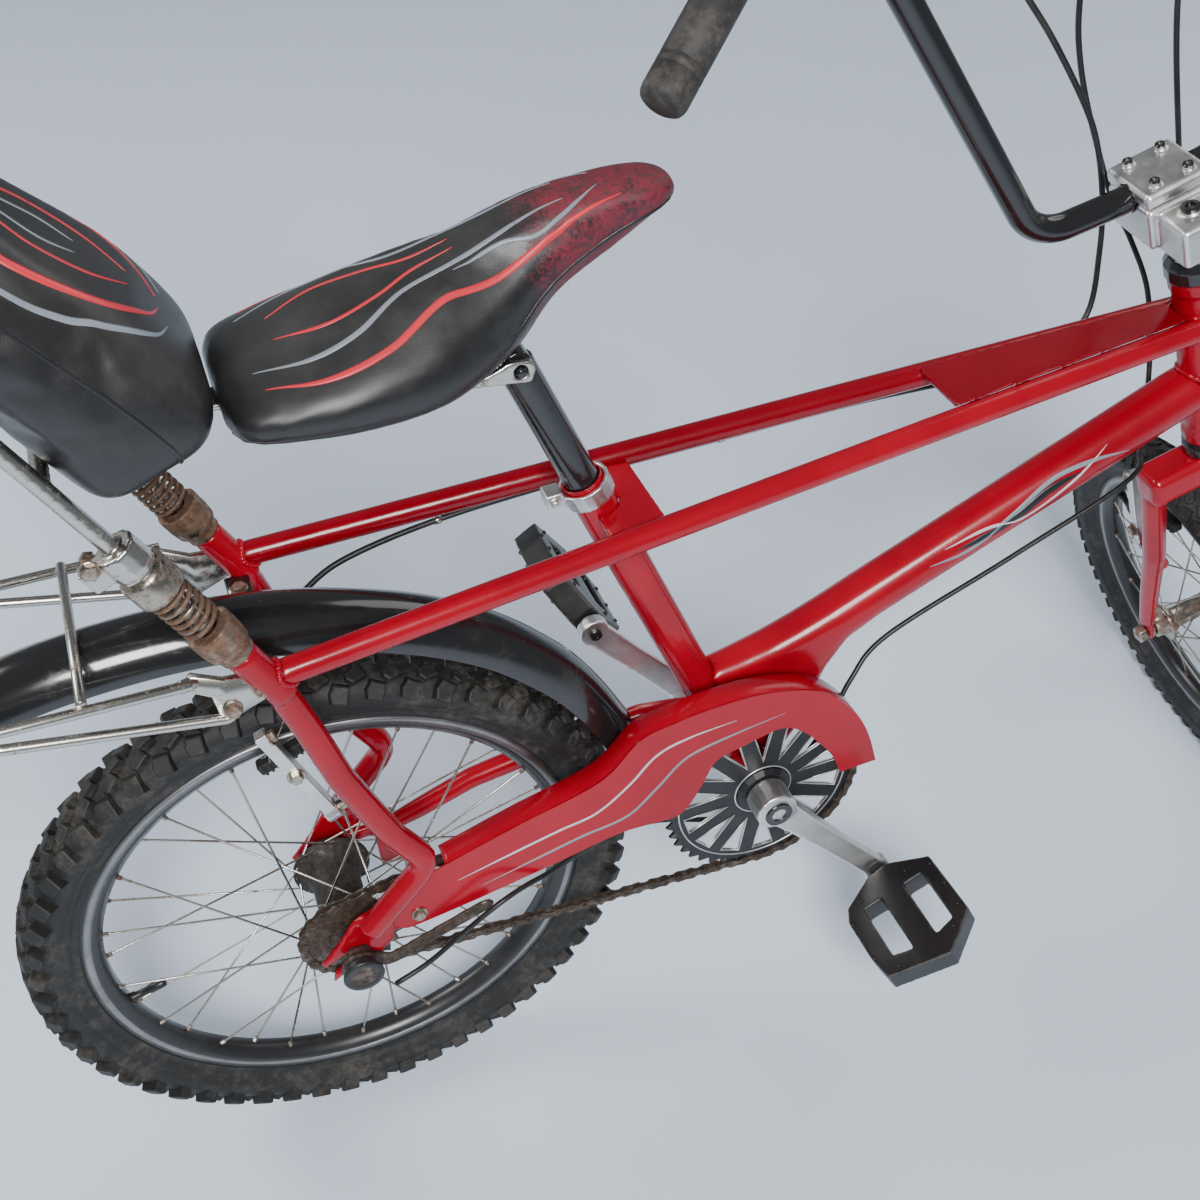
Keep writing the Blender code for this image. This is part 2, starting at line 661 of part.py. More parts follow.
def guard(parent):
    """Chain guard: a face plate with a flange along its upper edge."""
    upper = [(38, 30), (50, 48), (70, 58), (110, 70), (150, 81), (220, 99), (256, 130), (285, 137), (320, 140),
             (361, 138), (398, 128), (420, 116), (437, 98), (453, 74), (464, 46), (472, 12)]
    lower = [(437, 12), (430, 34), (418, 55), (400, 79), (380, 91), (345, 85), (321, 78), (307, 54), (291, 31),
             (275, 27), (233, 30), (178, 21), (116, 11), (60, 4), (42, 4), (34, 14)]
    face = -58.6
    solid = side_plate([upper + lower], face, -36.0)
    inset = []
    for before, here, after in zip(upper[2:], upper[3:], upper[4:] + [(472, -10)]):
        along = (Vector(after) - Vector(before)).normalized()
        inset.append((here[0] + along.y * 2.0, here[1] - along.x * 2.0))
    inner = [(109, 90), (110, 68)] + inset[1:] + [(471, -20), (440, -20), (300, -30), (20, -30), (20, 60), (50, 90)]
    hollow = side_plate([inner], face + 1.7, -20.0)
    shape = cut(solid, hollow, *stay_cutters(-1, 1.0))
    washer = rod((56, -60.5, 16), (56, -57.6, 16), 7, 12)
    bolt = rod((56, -63.0, 16), (56, -60.0, 16), 4.5, 6)
    node("chain_guard", fuse(shape, washer, bolt), RED, parent)


def mudguard(parent):
    """Half round guard over the rear tyre, with a tab to each stay."""
    edge = [(242, 94), (226, 130), (211, 158), (193, 184), (156, 224), (110, 257), (60, 281), (9, 298),
            (-45, 308), (-100, 311), (-160, 307), (-220, 292), (-275, 265), (-318, 226)]
    rings = []
    for i, (x, z) in enumerate(edge):
        before = edge[max(0, i - 1)]
        after = edge[min(len(edge) - 1, i + 1)]
        along = Vector((after[0] - before[0], 0, after[1] - before[1])).normalized()
        outward = Vector((along.z, 0, -along.x))
        ring = []
        turns = [math.pi * k / 5 for k in range(6)]
        for reach, order in ((28.5, turns), (26.5, turns[::-1])):
            for t in order:
                ring.append(Vector((x, 0, z)) + Vector((0, reach * math.cos(t), 0)) + outward * reach * math.sin(t))
        rings.append(ring)
    shape = loft(rings)
    for side in (1, -1):
        low, high = sorted((side * 27.3, side * (STAY_Y - 6)))
        tab = cut(box((-14, low, 304), (4, high, 307.5)), *stay_cutters(side, GAP, with_dropout=False))
        shape = fuse(shape, tab)
    node("rear_mudguard", shape, BLACK_PAINT, parent)


def rack(parent):
    """Wire rack over the mudguard, bolted behind the stays."""
    wire = 3.8
    parts = []
    hoop = [Vector((-50, 78, 337)), Vector((-318, 75, 351)), Vector((-318, -75, 351)), Vector((-50, -78, 337))]
    first = bend_path(hoop, 30, 2)
    for side in (1, -1):
        lower = mirrored([Vector((-29, 71, 300)), Vector((-34, 73, 295)), Vector((-172, 77, 329)),
                          Vector((-262, 76, 346.5))], side)
        parts.append(tube(bend_path(lower, 12, 2), wire, 6))
        edge = [(-50, 340), (-31, 329), (-8, 326), (0, 306), (-34, 293), (-40, 300), (-42, 318), (-58, 331)]
        cup = rod(spring_point(CUP_ENDS[0] - 1, side), spring_point(CUP_ENDS[1], side), bore(CUP_RADIUS, 12), 12)
        parts.append(cut(side_plate([edge], *sorted((side * 68, side * 74))), cup,
                         *stay_cutters(side, GAP, with_dropout=False)))
        parts.append(tube(mirrored([(-48, 71, 333), (-58, 77.8, 337)], side), 4.4, 6))
    for x, z in ((-118, 345.5), (-232, 351)):
        parts.append(tube([Vector((x, -77, z)), Vector((x, 77, z))], wire, 6))
    node("rack", fuse(tube(first, wire, 6), *parts), STEEL, parent)


def seat_support(parent):
    """Seat post with the cross barrel at its head, and the collar that holds it."""
    head = seat_point(SEAT_PIVOT)
    post = rod(seat_point(244), seat_point(SEAT_PIVOT - 8), SEAT_POST_RADIUS, 16)
    barrel = rod(head - Vector((0, 22, 0)), head + Vector((0, 22, 0)), 11, 12)
    pin = rod(head - Vector((0, 32, 0)), head + Vector((0, 32, 0)), 4, 10)
    node("seat_post", fuse(post, barrel, pin), BLACK_PAINT, parent)
    ring = sleeve(seat_point(337), seat_point(351), bore(SEAT_TUBE_RADIUS, 16), SEAT_TUBE_RADIUS + 3.9, 16)
    rear = seat_point(344).x - SEAT_TUBE_RADIUS
    ears = box((rear - 17, -8, 338.5), (rear - 3.9, 8, 350))
    bolt = rod((rear - 11, -12, 344), (rear - 11, 12, 344), 3, 8)
    node("seat_collar", fuse(ring, ears, bolt), ALLOY, parent)


def spring_cups(parent):
    """Lower cup of each spring, open along its middle for the sliding rod."""
    for side in (1, -1):
        start = spring_point(CUP_ENDS[0], side)
        end = spring_point(CUP_ENDS[1], side)
        length = (end - start).length
        hole = ROD_RADIUS + 1
        profile = [(hole, 0), (13, 0), (13, 5), (16, 10), (CUP_RADIUS, 20), (CUP_RADIUS, length), (hole, length)]
        cup = lathe(profile, 12, aim(start, end), ring=True)
        node("spring_cup_left" if side > 0 else "spring_cup_right", cup, RUSTY, parent)


def chain_loop(offset, rear_steps=7, ring_steps=13):
    """Chain line round sprocket and ring, moved out by an offset, as (x, z) points."""
    small = CHAIN_PITCH / (2 * math.sin(math.pi / SPROCKET_TEETH))
    large = CHAIN_PITCH / (2 * math.sin(math.pi / RING_TEETH))
    span = math.hypot(BRACKET_AXIS.x, BRACKET_AXIS.z)
    rise = math.atan2(BRACKET_AXIS.z, BRACKET_AXIS.x)
    spread = math.asin((large - small) / span)
    top = rise + spread + math.pi / 2
    bottom = rise - spread - math.pi / 2
    points = []
    for i in range(rear_steps + 1):
        turn = top + (bottom + 2 * math.pi - top) * i / rear_steps
        points.append(((small + offset) * math.cos(turn), (small + offset) * math.sin(turn)))
    for i in range(ring_steps + 1):
        turn = bottom + (top - bottom) * i / ring_steps
        points.append((BRACKET_AXIS.x + (large + offset) * math.cos(turn),
                       BRACKET_AXIS.z + (large + offset) * math.sin(turn)))
    return points


def chain(parent):
    """Chain as two bands of side plates with pins on the straight runs."""
    loops = [chain_loop(4.2), chain_loop(-4.2)]
    band = side_plate(loops, CHAIN_LINE - PLATE_OUTSIDE, CHAIN_LINE - PLATE_INSIDE)
    other = side_plate(loops, CHAIN_LINE + PLATE_INSIDE, CHAIN_LINE + PLATE_OUTSIDE)
    line = chain_loop(0.0)
    runs = [(line[7], line[8]), (line[-1], line[0])]
    pins = []
    for start, end in runs:
        start = Vector((start[0], 0, start[1]))
        end = Vector((end[0], 0, end[1]))
        count = int(((end - start).length - 2 * PIN_CLEARANCE) / (5 * CHAIN_PITCH))
        for i in range(count + 1):
            place = start + (end - start).normalized() * (PIN_CLEARANCE + 5 * CHAIN_PITCH * i)
            reach = (PLATE_INSIDE + PLATE_OUTSIDE) / 2
            pins.append(rod(place + Vector((0, CHAIN_LINE - reach, 0)), place + Vector((0, CHAIN_LINE + reach, 0)),
                            2.0, 4))
    bm = bmesh.new()
    for pin in pins:
        bm.from_mesh(pin.data)
        bpy.data.objects.remove(pin, do_unlink=True)
    all_pins = finish_shape(bm)
    node("chain", fuse(all_pins, band, other), STEEL, parent)


def headsets(parent):
    """Bearing cups above and below the head tube."""
    for name, low, high, outer in (("headset_upper", HEAD_TUBE_ENDS[1], HEADSET_ENDS[1], 24.0),
                                   ("headset_lower", HEADSET_ENDS[0], HEAD_TUBE_ENDS[0], 22.5)):
        low += GAP
        high -= GAP
        tall = high - low
        profile = [(STEERER_RADIUS + 0.6, 0), (outer, 0), (outer, tall * 0.6),
                   (outer - 5, tall), (STEERER_RADIUS + 0.6, tall)]
        node(name, lathe(profile, 16, aim(axis_point(low), axis_point(high)), ring=True), PLASTIC, parent)


def fork(parent):
    """Fork: crown with square shoulders, bent blades, dropouts, brake studs and steerer."""
    crown = box((-17, -64, 180), (18, 64, 212), bevel=5)
    steerer = rod((0, 0, 196), (0, 0, STEM_TOP - 5), STEERER_RADIUS, 16)
    parts = [steerer]
    for side in (1, -1):
        path = [(6, BLADE_SPAN, 200), (6, BLADE_SPAN, 172), (18, BLADE_SPAN, 85), (38, BLADE_SPAN, 4),
                (48, BLADE_SPAN + 0.5, -44)]
        parts.append(tube(mirrored(path, side), [11.5, 11.5, 11, 9.5, 8], 10))
        edge = [(40, -40), (54, -38), (62, -52), (61, -70), (52, -76), (43, -70), (41, -56)]
        hole = circle(FORK_RAKE, FORK_LENGTH, AXLE_RADIUS + GAP, 8)
        parts.append(plate([edge, hole], min(side * 50, side * 55), max(side * 50, side * 55), SIDE_VIEW))
        parts.append(rod((12, side * 48, 71), (45, side * 45, 69), 7, 8))
        parts.append(rod((43, side * 45, 69), (66, side * 45, 69), 4, 8))
    node("fork", fuse(crown, *parts), RED, parent)


def stem(parent):
    """Stem block round the steerer and its bolted bar cap."""
    middle = BAR_CLAMP.z
    foot = HEADSET_ENDS[1] + GAP
    body = box((-22, -20, foot), (20, 20, STEM_TOP), bevel=2.5)
    neck = box((12, -28, foot + 4), (70, 28, middle - 0.5), bevel=2.5)
    well = rod((0, 0, foot - 10), (0, 0, STEM_TOP - 5 + GAP), bore(STEERER_RADIUS, 16), 16)

    def bar_cutter():
        return rod(BAR_CLAMP - Vector((0, 60, 0)), BAR_CLAMP + Vector((0, 60, 0)), bore(BAR_RADIUS, 12), 12)

    bolt = rod((0, 0, STEM_TOP - 1), (0, 0, STEM_TOP + 3), 8, 12)
    node("stem", cut(fuse(body, neck, bolt), well, bar_cutter()), ALLOY, parent)
    cap = box((12, -28, middle + 0.5), (70, 28, middle + 14), bevel=3)
    for a in (BAR_CLAMP.x - 18.5, BAR_CLAMP.x + 18.5):
        for b in (-14, 14):
            cap = fuse(cap, rod((a, b, middle + 12), (a, b, middle + 18), 4.5, 8))
    node("stem_cap", cut(cap, bar_cutter()), ALLOY, parent)


def bar_line(distance, side, offset=0.0, lift=0.0):
    """Point on the grip line, a distance in from the bar end, moved to the lever side or square to it."""
    along = (BAR_TOP - BAR_END).normalized()
    out = (LEVER_SIDE - LEVER_SIDE.dot(along) * along).normalized()
    square = along.cross(out)
    point = BAR_END + along * distance + out * offset + square * lift
    return Vector((point.x, side * point.y, point.z))


def bar_matrix(distance, side):
    """Frame on the grip line: X to the lever side, Z inward along the bar."""
    origin = bar_line(distance, side)
    z_axis = (bar_line(distance + 1, side) - origin).normalized()
    x_axis = (bar_line(distance, side, 1) - origin).normalized()
    y_axis = z_axis.cross(x_axis)
    matrix = Matrix.Identity(4)
    for i, axis in enumerate((x_axis, y_axis, z_axis, origin)):
        for row in range(3):
            matrix[row][i] = axis[row]
    return matrix


def handlebar(parent):
    """High handlebar with its grips, twist shifter, lever brackets and brake levers."""
    left = [BAR_KNEE, BAR_FOOT, BAR_TOP, BAR_END]
    path = bend_path(left, 42, 3)
    whole = [Vector((p.x, -p.y, p.z)) for p in reversed(path)] + path
    node("handlebar", tube(whole, BAR_RADIUS, 10), BLACK_PAINT, parent)
    for side in (1, -1):
        name = "left" if side > 0 else "right"
        length = GRIP_LENGTH if side > 0 else GRIP_LENGTH - SHIFTER_LENGTH - 1
        frame_here = bar_matrix(0, side)
        inner = bore(BAR_RADIUS, 12)
        profile = [(0, -3.5), (GRIP_RADIUS - 3, -3.5), (GRIP_RADIUS, 0), (GRIP_RADIUS, length), (inner, length),
                   (inner, -GAP), (0, -GAP)]
        node("grip_" + name, lathe(profile, 12, frame_here), RUBBER, parent)
        if side < 0:
            start = GRIP_LENGTH - SHIFTER_LENGTH
            profile = [(inner, start), (18, start), (18, start + 26), (16.5, start + 30),
                       (16.5, GRIP_LENGTH), (inner, GRIP_LENGTH)]
            shifter = lathe(profile, 12, frame_here, ring=True)
            node("twist_shifter", shifter, PLASTIC, parent, bar_line(GRIP_LENGTH - SHIFTER_LENGTH / 2, side))
        place = bar_matrix(LEVER_DISTANCE, side)
        ring = lathe([(inner, -8), (15.5, -8), (15.5, 8), (inner, 8)], 12, place, ring=True)
        arm = box((13, -3, -7), (LEVER_OFFSET, 3, 6), place)
        eye = rod(place @ Vector((LEVER_OFFSET, -3.2, 0)), place @ Vector((LEVER_OFFSET, 3.2, 0)), 7, 10)
        pin = rod(place @ Vector((LEVER_OFFSET, -8.7, 0)), place @ Vector((LEVER_OFFSET, 8.7, 0)), 2.5, 8)
        outlet = rod(place @ Vector((19, 0, 3)), place @ Vector((19, 0, 20)), 4.2, 6)
        bracket = fuse(ring, arm, eye, pin, outlet)
        if side < 0:
            bracket = fuse(bracket, rod(place @ Vector((-17, 0, -4)), place @ Vector((-17, 0, 20)), 4.0, 6))
        node("lever_bracket_" + name, bracket, PLASTIC, parent)
        outline = [(-7, -4), (-6, 4), (0, 8), (7, 4), (16, -20), (15, -27), (7, -27), (1, -14)]
        loops = [[(LEVER_OFFSET + x, z) for x, z in outline], circle(LEVER_OFFSET, 0, 2.9, 8)]
        blade = tube([place @ Vector(p) for p in ((LEVER_OFFSET + 8, 0, -15), (LEVER_OFFSET + 13, 0, -28),
                                                   (LEVER_OFFSET + 17, 0, -52), (LEVER_OFFSET + 14, 0, -96))],
                     [6.5, 6.5, 6, 5.5], 6)
        lever = fuse(blade, side_plate(loops, 3.7, 7.3, place), side_plate(loops, -7.3, -3.7, place))
        node("brake_lever_" + name, lever, ALLOY, parent, place @ Vector((LEVER_OFFSET, 0, 0)))


def brake_arm(place, side, height, pad_height, gap_to_rim, pad_length):
    """Cantilever arm in its own frame: X fore-and-aft on the stud, Y left, Z up; the pad faces the rim."""
    hub = lathe([(4.4, -6), (8, -6), (8, 6), (4.4, 6)], 8, place @ aim((0, 0, 0), (1, 0, 0)), ring=True)
    arm = loft([[place @ Vector((x, y * side, z)) for x, y in ((-5, -w), (5, -w), (5, w), (-5, w))]
                for z, w in ((6.5, 6), (height * 0.5, 6), (height, 5))])
    reach = gap_to_rim
    post = rod(place @ Vector((0, 0, pad_height)), place @ Vector((0, -side * (reach - 8), pad_height)), 3.5, 8)
    pad = box((-pad_length / 2, min(-side * reach, -side * (reach - 10)), pad_height - 4.5),
              (pad_length / 2, max(-side * reach, -side * (reach - 10)), pad_height + 4.5), place)
    return fuse(hub, arm, post, pad)


def brakes(frame_parent, steering_parent):
    """Four brake arms on their studs."""
    for side in (1, -1):
        name = "left" if side > 0 else "right"
        pivot = Vector((54, side * 45, 69))
        arm = brake_arm(Matrix.Translation(pivot), side, 92, FRONT_RIM_RADIUS - 140.5, 45 - RIM_HALF - 2.0, 44)
        node("front_brake_arm_" + name, arm, ALLOY, steering_parent, pivot)
        pivot = Vector((13, side * 42, 147))
        turn = Matrix.Rotation(math.radians(-19.3), 4, "Y")
        place = Matrix.Translation(pivot) @ turn
        arm = brake_arm(place, side, 103, REAR_RIM_RADIUS - 155, 42 - RIM_HALF - 2.0, 50)
        node("rear_brake_arm_" + name, arm, ALLOY, frame_parent, pivot)


def front_wheel(parent):
    """Front hub with its spokes, rim, tyre and fixed axle."""
    centre = Vector((FORK_RAKE, 0, FORK_LENGTH))
    hub = lathe([(6.2, -46), (11, -46), (12, -36), (20, -34.5), (20, -29.5), (13, -26), (13, 26), (20, 29.5),
                 (20, 34.5), (12, 36), (11, 46), (6.2, 46)], 12, across(), ring=True)
    lacing = spokes(FRONT_SPOKES, 17.0, 32.0, FRONT_RIM_RADIUS - FRONT_RIM_DEPTH, math.radians(58), 0.05)
    pieces = (("front_hub", fuse(hub, lacing), STEEL),
              ("front_rim", lathe(rim_profile(FRONT_RIM_RADIUS, FRONT_RIM_DEPTH), WHEEL_FACETS, across(),
                                  ring=True), BLACK_RIM),
              ("front_tyre", lathe(tyre_profile(FRONT_TYRE_RADIUS, FRONT_TYRE_HALF, FRONT_RIM_RADIUS),
                                   WHEEL_FACETS, across(), ring=True), RUBBER))
    for name, shape, finish in pieces:
        node(name, shape, finish, parent).location = centre * MM
    body = rod(centre + Vector((0, -66, 0)), centre + Vector((0, 66, 0)), AXLE_RADIUS, 8)
    nuts = []
    for side in (1, -1):
        nuts.append(rod(centre + Vector((0, side * 55.3, 0)), centre + Vector((0, side * 64, 0)), 9.5, 6))
        nuts.append(rod(centre + Vector((0, side * 46.4, 0)), centre + Vector((0, side * 49.7, 0)), 8.5, 8))
    node("front_axle", fuse(body, *nuts), STEEL, parent)


def crankset(parent):
    """Toothed ring, the two cranks on one spindle, and the pedals."""
    centre = BRACKET_AXIS
    windows = []
    for i in range(RING_SPOKES):
        turn = 2 * math.pi * (i + 0.5) / RING_SPOKES
        half_in = math.pi / RING_SPOKES - 0.12
        half_out = math.pi / RING_SPOKES - 0.06
        window = []
        for radius, spread in ((34, 0.0), (60, half_in), (75, half_out * 0.8), (75, -half_out * 0.8),
                               (60, -half_in)):
            window.append((radius * math.cos(turn + spread), radius * math.sin(turn + spread)))
        windows.append(window)
    turn = Matrix.Translation(centre) @ Matrix.Rotation(-CRANK_ANGLE, 4, "Y")
    ring = side_plate([gear_outline(RING_TEETH), circle(0, 0, 12, 12)] + windows, CHAIN_LINE - 1.1,
                      CHAIN_LINE + 1.1, turn)
    collar = lathe([(SPINDLE_RADIUS + GAP, -49.6), (21, -49.6), (25, -46), (25, -42.2), (SPINDLE_RADIUS + GAP, -42.2)],
                   16, across(centre), ring=True)
    node("chainring", fuse(collar, ring), BLACK_PAINT, parent, centre)
    for side in (-1, 1):
        angle = CRANK_ANGLE if side < 0 else CRANK_ANGLE + math.pi
        place = Matrix.Translation(centre) @ Matrix.Rotation(-angle, 4, "Y")

        def at(x, y, z):
            return place @ Vector((x, side * y, z))

        boss = rod(at(0, 50 if side < 0 else 40, 0), at(0, 75, 0), 18.5, 16)
        arm = loft([[at(x, y, z) for y, z in ((62, -w), (62, w), (73, w - 1.5), (73, -w + 1.5))]
                    for x, w in ((6, 15), (40, 13), (120, 11), (CRANK_LENGTH - 4, 12))])
        eye = rod(at(CRANK_LENGTH, 62, 0), at(CRANK_LENGTH, 74, 0), 13.5, 14)
        axle = rod(at(CRANK_LENGTH, 66, 0), at(CRANK_LENGTH, 178, 0), 5.5, 8)
        if side < 0:
            cap = rod(at(0, 74.5, 0), at(0, 77, 0), 13, 12)
            hole = rod(at(0, 30, 0), at(0, 72, 0), SPINDLE_RADIUS + GAP, 12)
            shape = cut(fuse(boss, arm, eye, axle, cap), hole)
            node("crank_right", shape, ALLOY, parent, centre)
        else:
            spindle = rod(at(0, 60, 0), at(0, -70, 0), SPINDLE_RADIUS, 12)
            node("crank_left", fuse(boss, arm, eye, axle, spindle), ALLOY, parent, centre)
        pedal_centre = at(CRANK_LENGTH, 0, 0)
        slope = RIGHT_PEDAL_TILT if side < 0 else LEFT_PEDAL_TILT
        tilt = Matrix.Translation(pedal_centre) @ Matrix.Rotation(-slope, 4, "Y")
        edge = [(9, 78), (46, 96), (48, 162), (13, 189), (-45, 176), (-49, 150), (-49, 110), (-43, 97), (-11, 80)]
        slots = [[(12, 107), (32, 107), (32, 160), (12, 165)], [(-31, 107), (-12, 107), (-12, 165), (-31, 160)]]
        loops = [[(t, side * y) for t, y in loop] for loop in [edge] + slots]
        pedal = plate(loops, -12, 12, tilt)
        axle_hole = rod(at(CRANK_LENGTH, 70, 0), at(CRANK_LENGTH, 180, 0), 6.1, 10)
        node("pedal_right" if side < 0 else "pedal_left", cut(pedal, axle_hole), PLASTIC, parent,
             pedal_centre + Vector((0, side * 130, 0)))


def blob(centre_line, power=2.6, count=16):
    """Cushion skin from stations of (centre, side axis, height axis, half width, half height)."""
    rings = []
    for middle, wide, tall, half_width, half_height in centre_line:
        ring = []
        for k in range(count):
            t = 2 * math.pi * k / count
            c = math.copysign(abs(math.cos(t)) ** (2 / power), math.cos(t))
            s = math.copysign(abs(math.sin(t)) ** (2 / power), math.sin(t))
            ring.append(Vector(middle) + wide * half_width * c + tall * half_height * s)
        rings.append(ring)
    return loft(rings)


def seat(parent):
    """Saddle, backrest, the sprung uprights with their straps, and the springs."""
    side_axis = Vector((0, 1, 0))
    up = Vector((0, 0, 1))
    stations = []
    for x, half, low, high in ((20, 44, 488, 512), (30, 66, 479, 521), (60, 77, 473, 527),
                               (102, 80, 467, 534), (150, 74, 465, 544), (195, 57, 482, 556),
                               (235, 43, 514, 568), (280, 34, 536, 577), (312, 27, 548, 577),
                               (328, 15, 553, 571)):
        stations.append(((x, 0, (low + high) / 2), side_axis, up, half, (high - low) / 2))
    saddle = blob(stations, 2.3)
    pivot = seat_point(SEAT_PIVOT)
    rear = spring_point(CROSS_LEVEL, 0)
    slope = Vector((pivot.x - rear.x, 0, SEAT_PIVOT - 2 - rear.z)).normalized()
    strap_matrix = Matrix.Translation(rear) @ Matrix.Rotation(-math.atan2(slope.z, slope.x), 4, "Y")
    reach = (pivot.x - rear.x) / slope.x - 20

    def recess():
        return box((-20, -12 - GAP, -40), (reach + GAP, 12 + GAP, 2.5 + GAP), strap_matrix)

    yoke_recess = box((reach - 42 - GAP, -29 - GAP, -40), (reach + GAP, 29 + GAP, 2.5 + GAP), strap_matrix)
    node("saddle", cut(saddle, recess(), yoke_recess), VINYL, parent)

    rise = Vector((-0.574, 0, 0.819))
    back = Vector((-0.819, 0, -0.574))
    foot = Vector((13, 0, 524))
    clear = (ROD_RADIUS + GAP) / math.cos(SPRING_LEAN)
    stations = []
    for height, front_in, level, rear_in, half in ((-18, 24, 486, 14, 62), (-14, 7, 477, 4, 80),
                                                   (6, -6, 484, 0, 88), (60, -8, 522, 0, 90),
                                                   (150, 3, 605, 0, 89), (240, 6, 687, 0, 82),
                                                   (285, 7, 728, 4, 70), (300, 16, 738, 11, 50)):
        front_point = foot + rise * height + back * front_in
        rear_point = spring_point(level, 0) + Vector((clear, 0, 0))
        depth = rear_point - front_point
        rear_point -= depth.normalized() * rear_in
        depth = rear_point - front_point
        stations.append(((front_point + rear_point) / 2, side_axis, depth.normalized(), half, depth.length / 2))
    node("backrest", cut(blob(stations, 3.2), recess()), VINYL, parent)

    parts = []
    lean = Matrix.Rotation(-SPRING_LEAN, 4, "Y")
    for side in (1, -1):
        profile = [(ROD_RADIUS - 0.5, 0), (16.5, 0), (16.5, 19), (13, 22), (14.5, 26), (14.5, 44), (ROD_RADIUS - 0.5, 44)]
        parts.append(lathe(profile, 10, aim(spring_point(COIL_TOP + 0.4, side), spring_point(COLLAR_TOP, side)),
                           ring=True))
        parts.append(box((-27, -6, -9), (-13, 6, 9), Matrix.Translation(spring_point(443, side)) @ lean))
    top = spring_point(770, 1)
    hoop = [spring_point(ROD_END, 1), top, Vector((top.x, -SPRING_Y, top.z)), spring_point(ROD_END, -1)]
    uprights = tube(bend_path(hoop, 26, 3), ROD_RADIUS, 8)
    cross = rod(spring_point(CROSS_LEVEL, 1), spring_point(CROSS_LEVEL, -1), 6, 8)
    brace = box((-4, -SPRING_Y, -12), (ROD_RADIUS, SPRING_Y, 12), Matrix.Translation(spring_point(600, 0)) @ lean)
    strap = [(0, -12), (reach - 42, -12), (reach - 42, -28), (reach, -28), (reach, 28), (reach - 42, 28),
             (reach - 42, 12), (0, 12)]
    parts.append(plate([strap], -2.5, 2.5, strap_matrix))
    ear = [(reach - 38, -4), (reach + 14, -6), (reach + 27, -7), (reach + 30, 2), (reach + 27, 10), (reach + 12, 10),
           (reach - 6, 1.2), (reach - 38, 1.2)]
    hole = strap_matrix.inverted() @ pivot
    for side in (1, -1):
        parts.append(side_plate([ear, circle(hole.x, hole.z, 4.7, 10)], *sorted((side * 24.0, side * 29.0)),
                                strap_matrix))
    node("sissy_bar", fuse(uprights, cross, brace, *parts), STEEL, parent)

    for side in (1, -1):
        start = spring_point(CUP_ENDS[1] + GAP, side)
        end = spring_point(COIL_TOP, side)
        length = (end - start).length
        frame_here = aim(start, end)
        straight = 2 * SPRING_WIRE_RADIUS
        pitch = (length - 2 * straight) / SPRING_CURLS
        count = SPRING_CURLS * SPRING_POINTS
        turns = [2 * math.pi * i / SPRING_POINTS for i in range(count + 1)]
        coil = [Vector((SPRING_COIL_RADIUS * math.cos(t), SPRING_COIL_RADIUS * math.sin(t),
                        straight + pitch * t / (2 * math.pi))) for t in turns]
        path = [coil[0] - Vector((0, 0, straight)), *coil, coil[-1] + Vector((0, 0, straight))]
        print(f"spring curls {pitch:.2f} mm apart, least gap "
              f"{least_gap(path, SPRING_WIRE_RADIUS, SPRING_POINTS - 2):.2f} mm")
        shape = wire([frame_here @ p for p in path], SPRING_WIRE_RADIUS, 1)
        node("spring_left" if side > 0 else "spring_right", shape, RUSTY, parent)


def kickstand(parent, foot):
    """Stand leg on its stud, reaching a given foot point."""
    ring = sleeve(STAND_PIVOT - 9 * STAND_AXIS, STAND_PIVOT + 9 * STAND_AXIS, 5.6, 12, 12)
    along = (foot - STAND_PIVOT).normalized()
    knee = STAND_PIVOT + along * 30
    leg = tube([STAND_PIVOT + along * 8, knee, foot - along * 16, foot], [8, 7.5, 7, 9], 8)
    node("kickstand", fuse(ring, leg), BLACK_PAINT, parent, STAND_PIVOT)


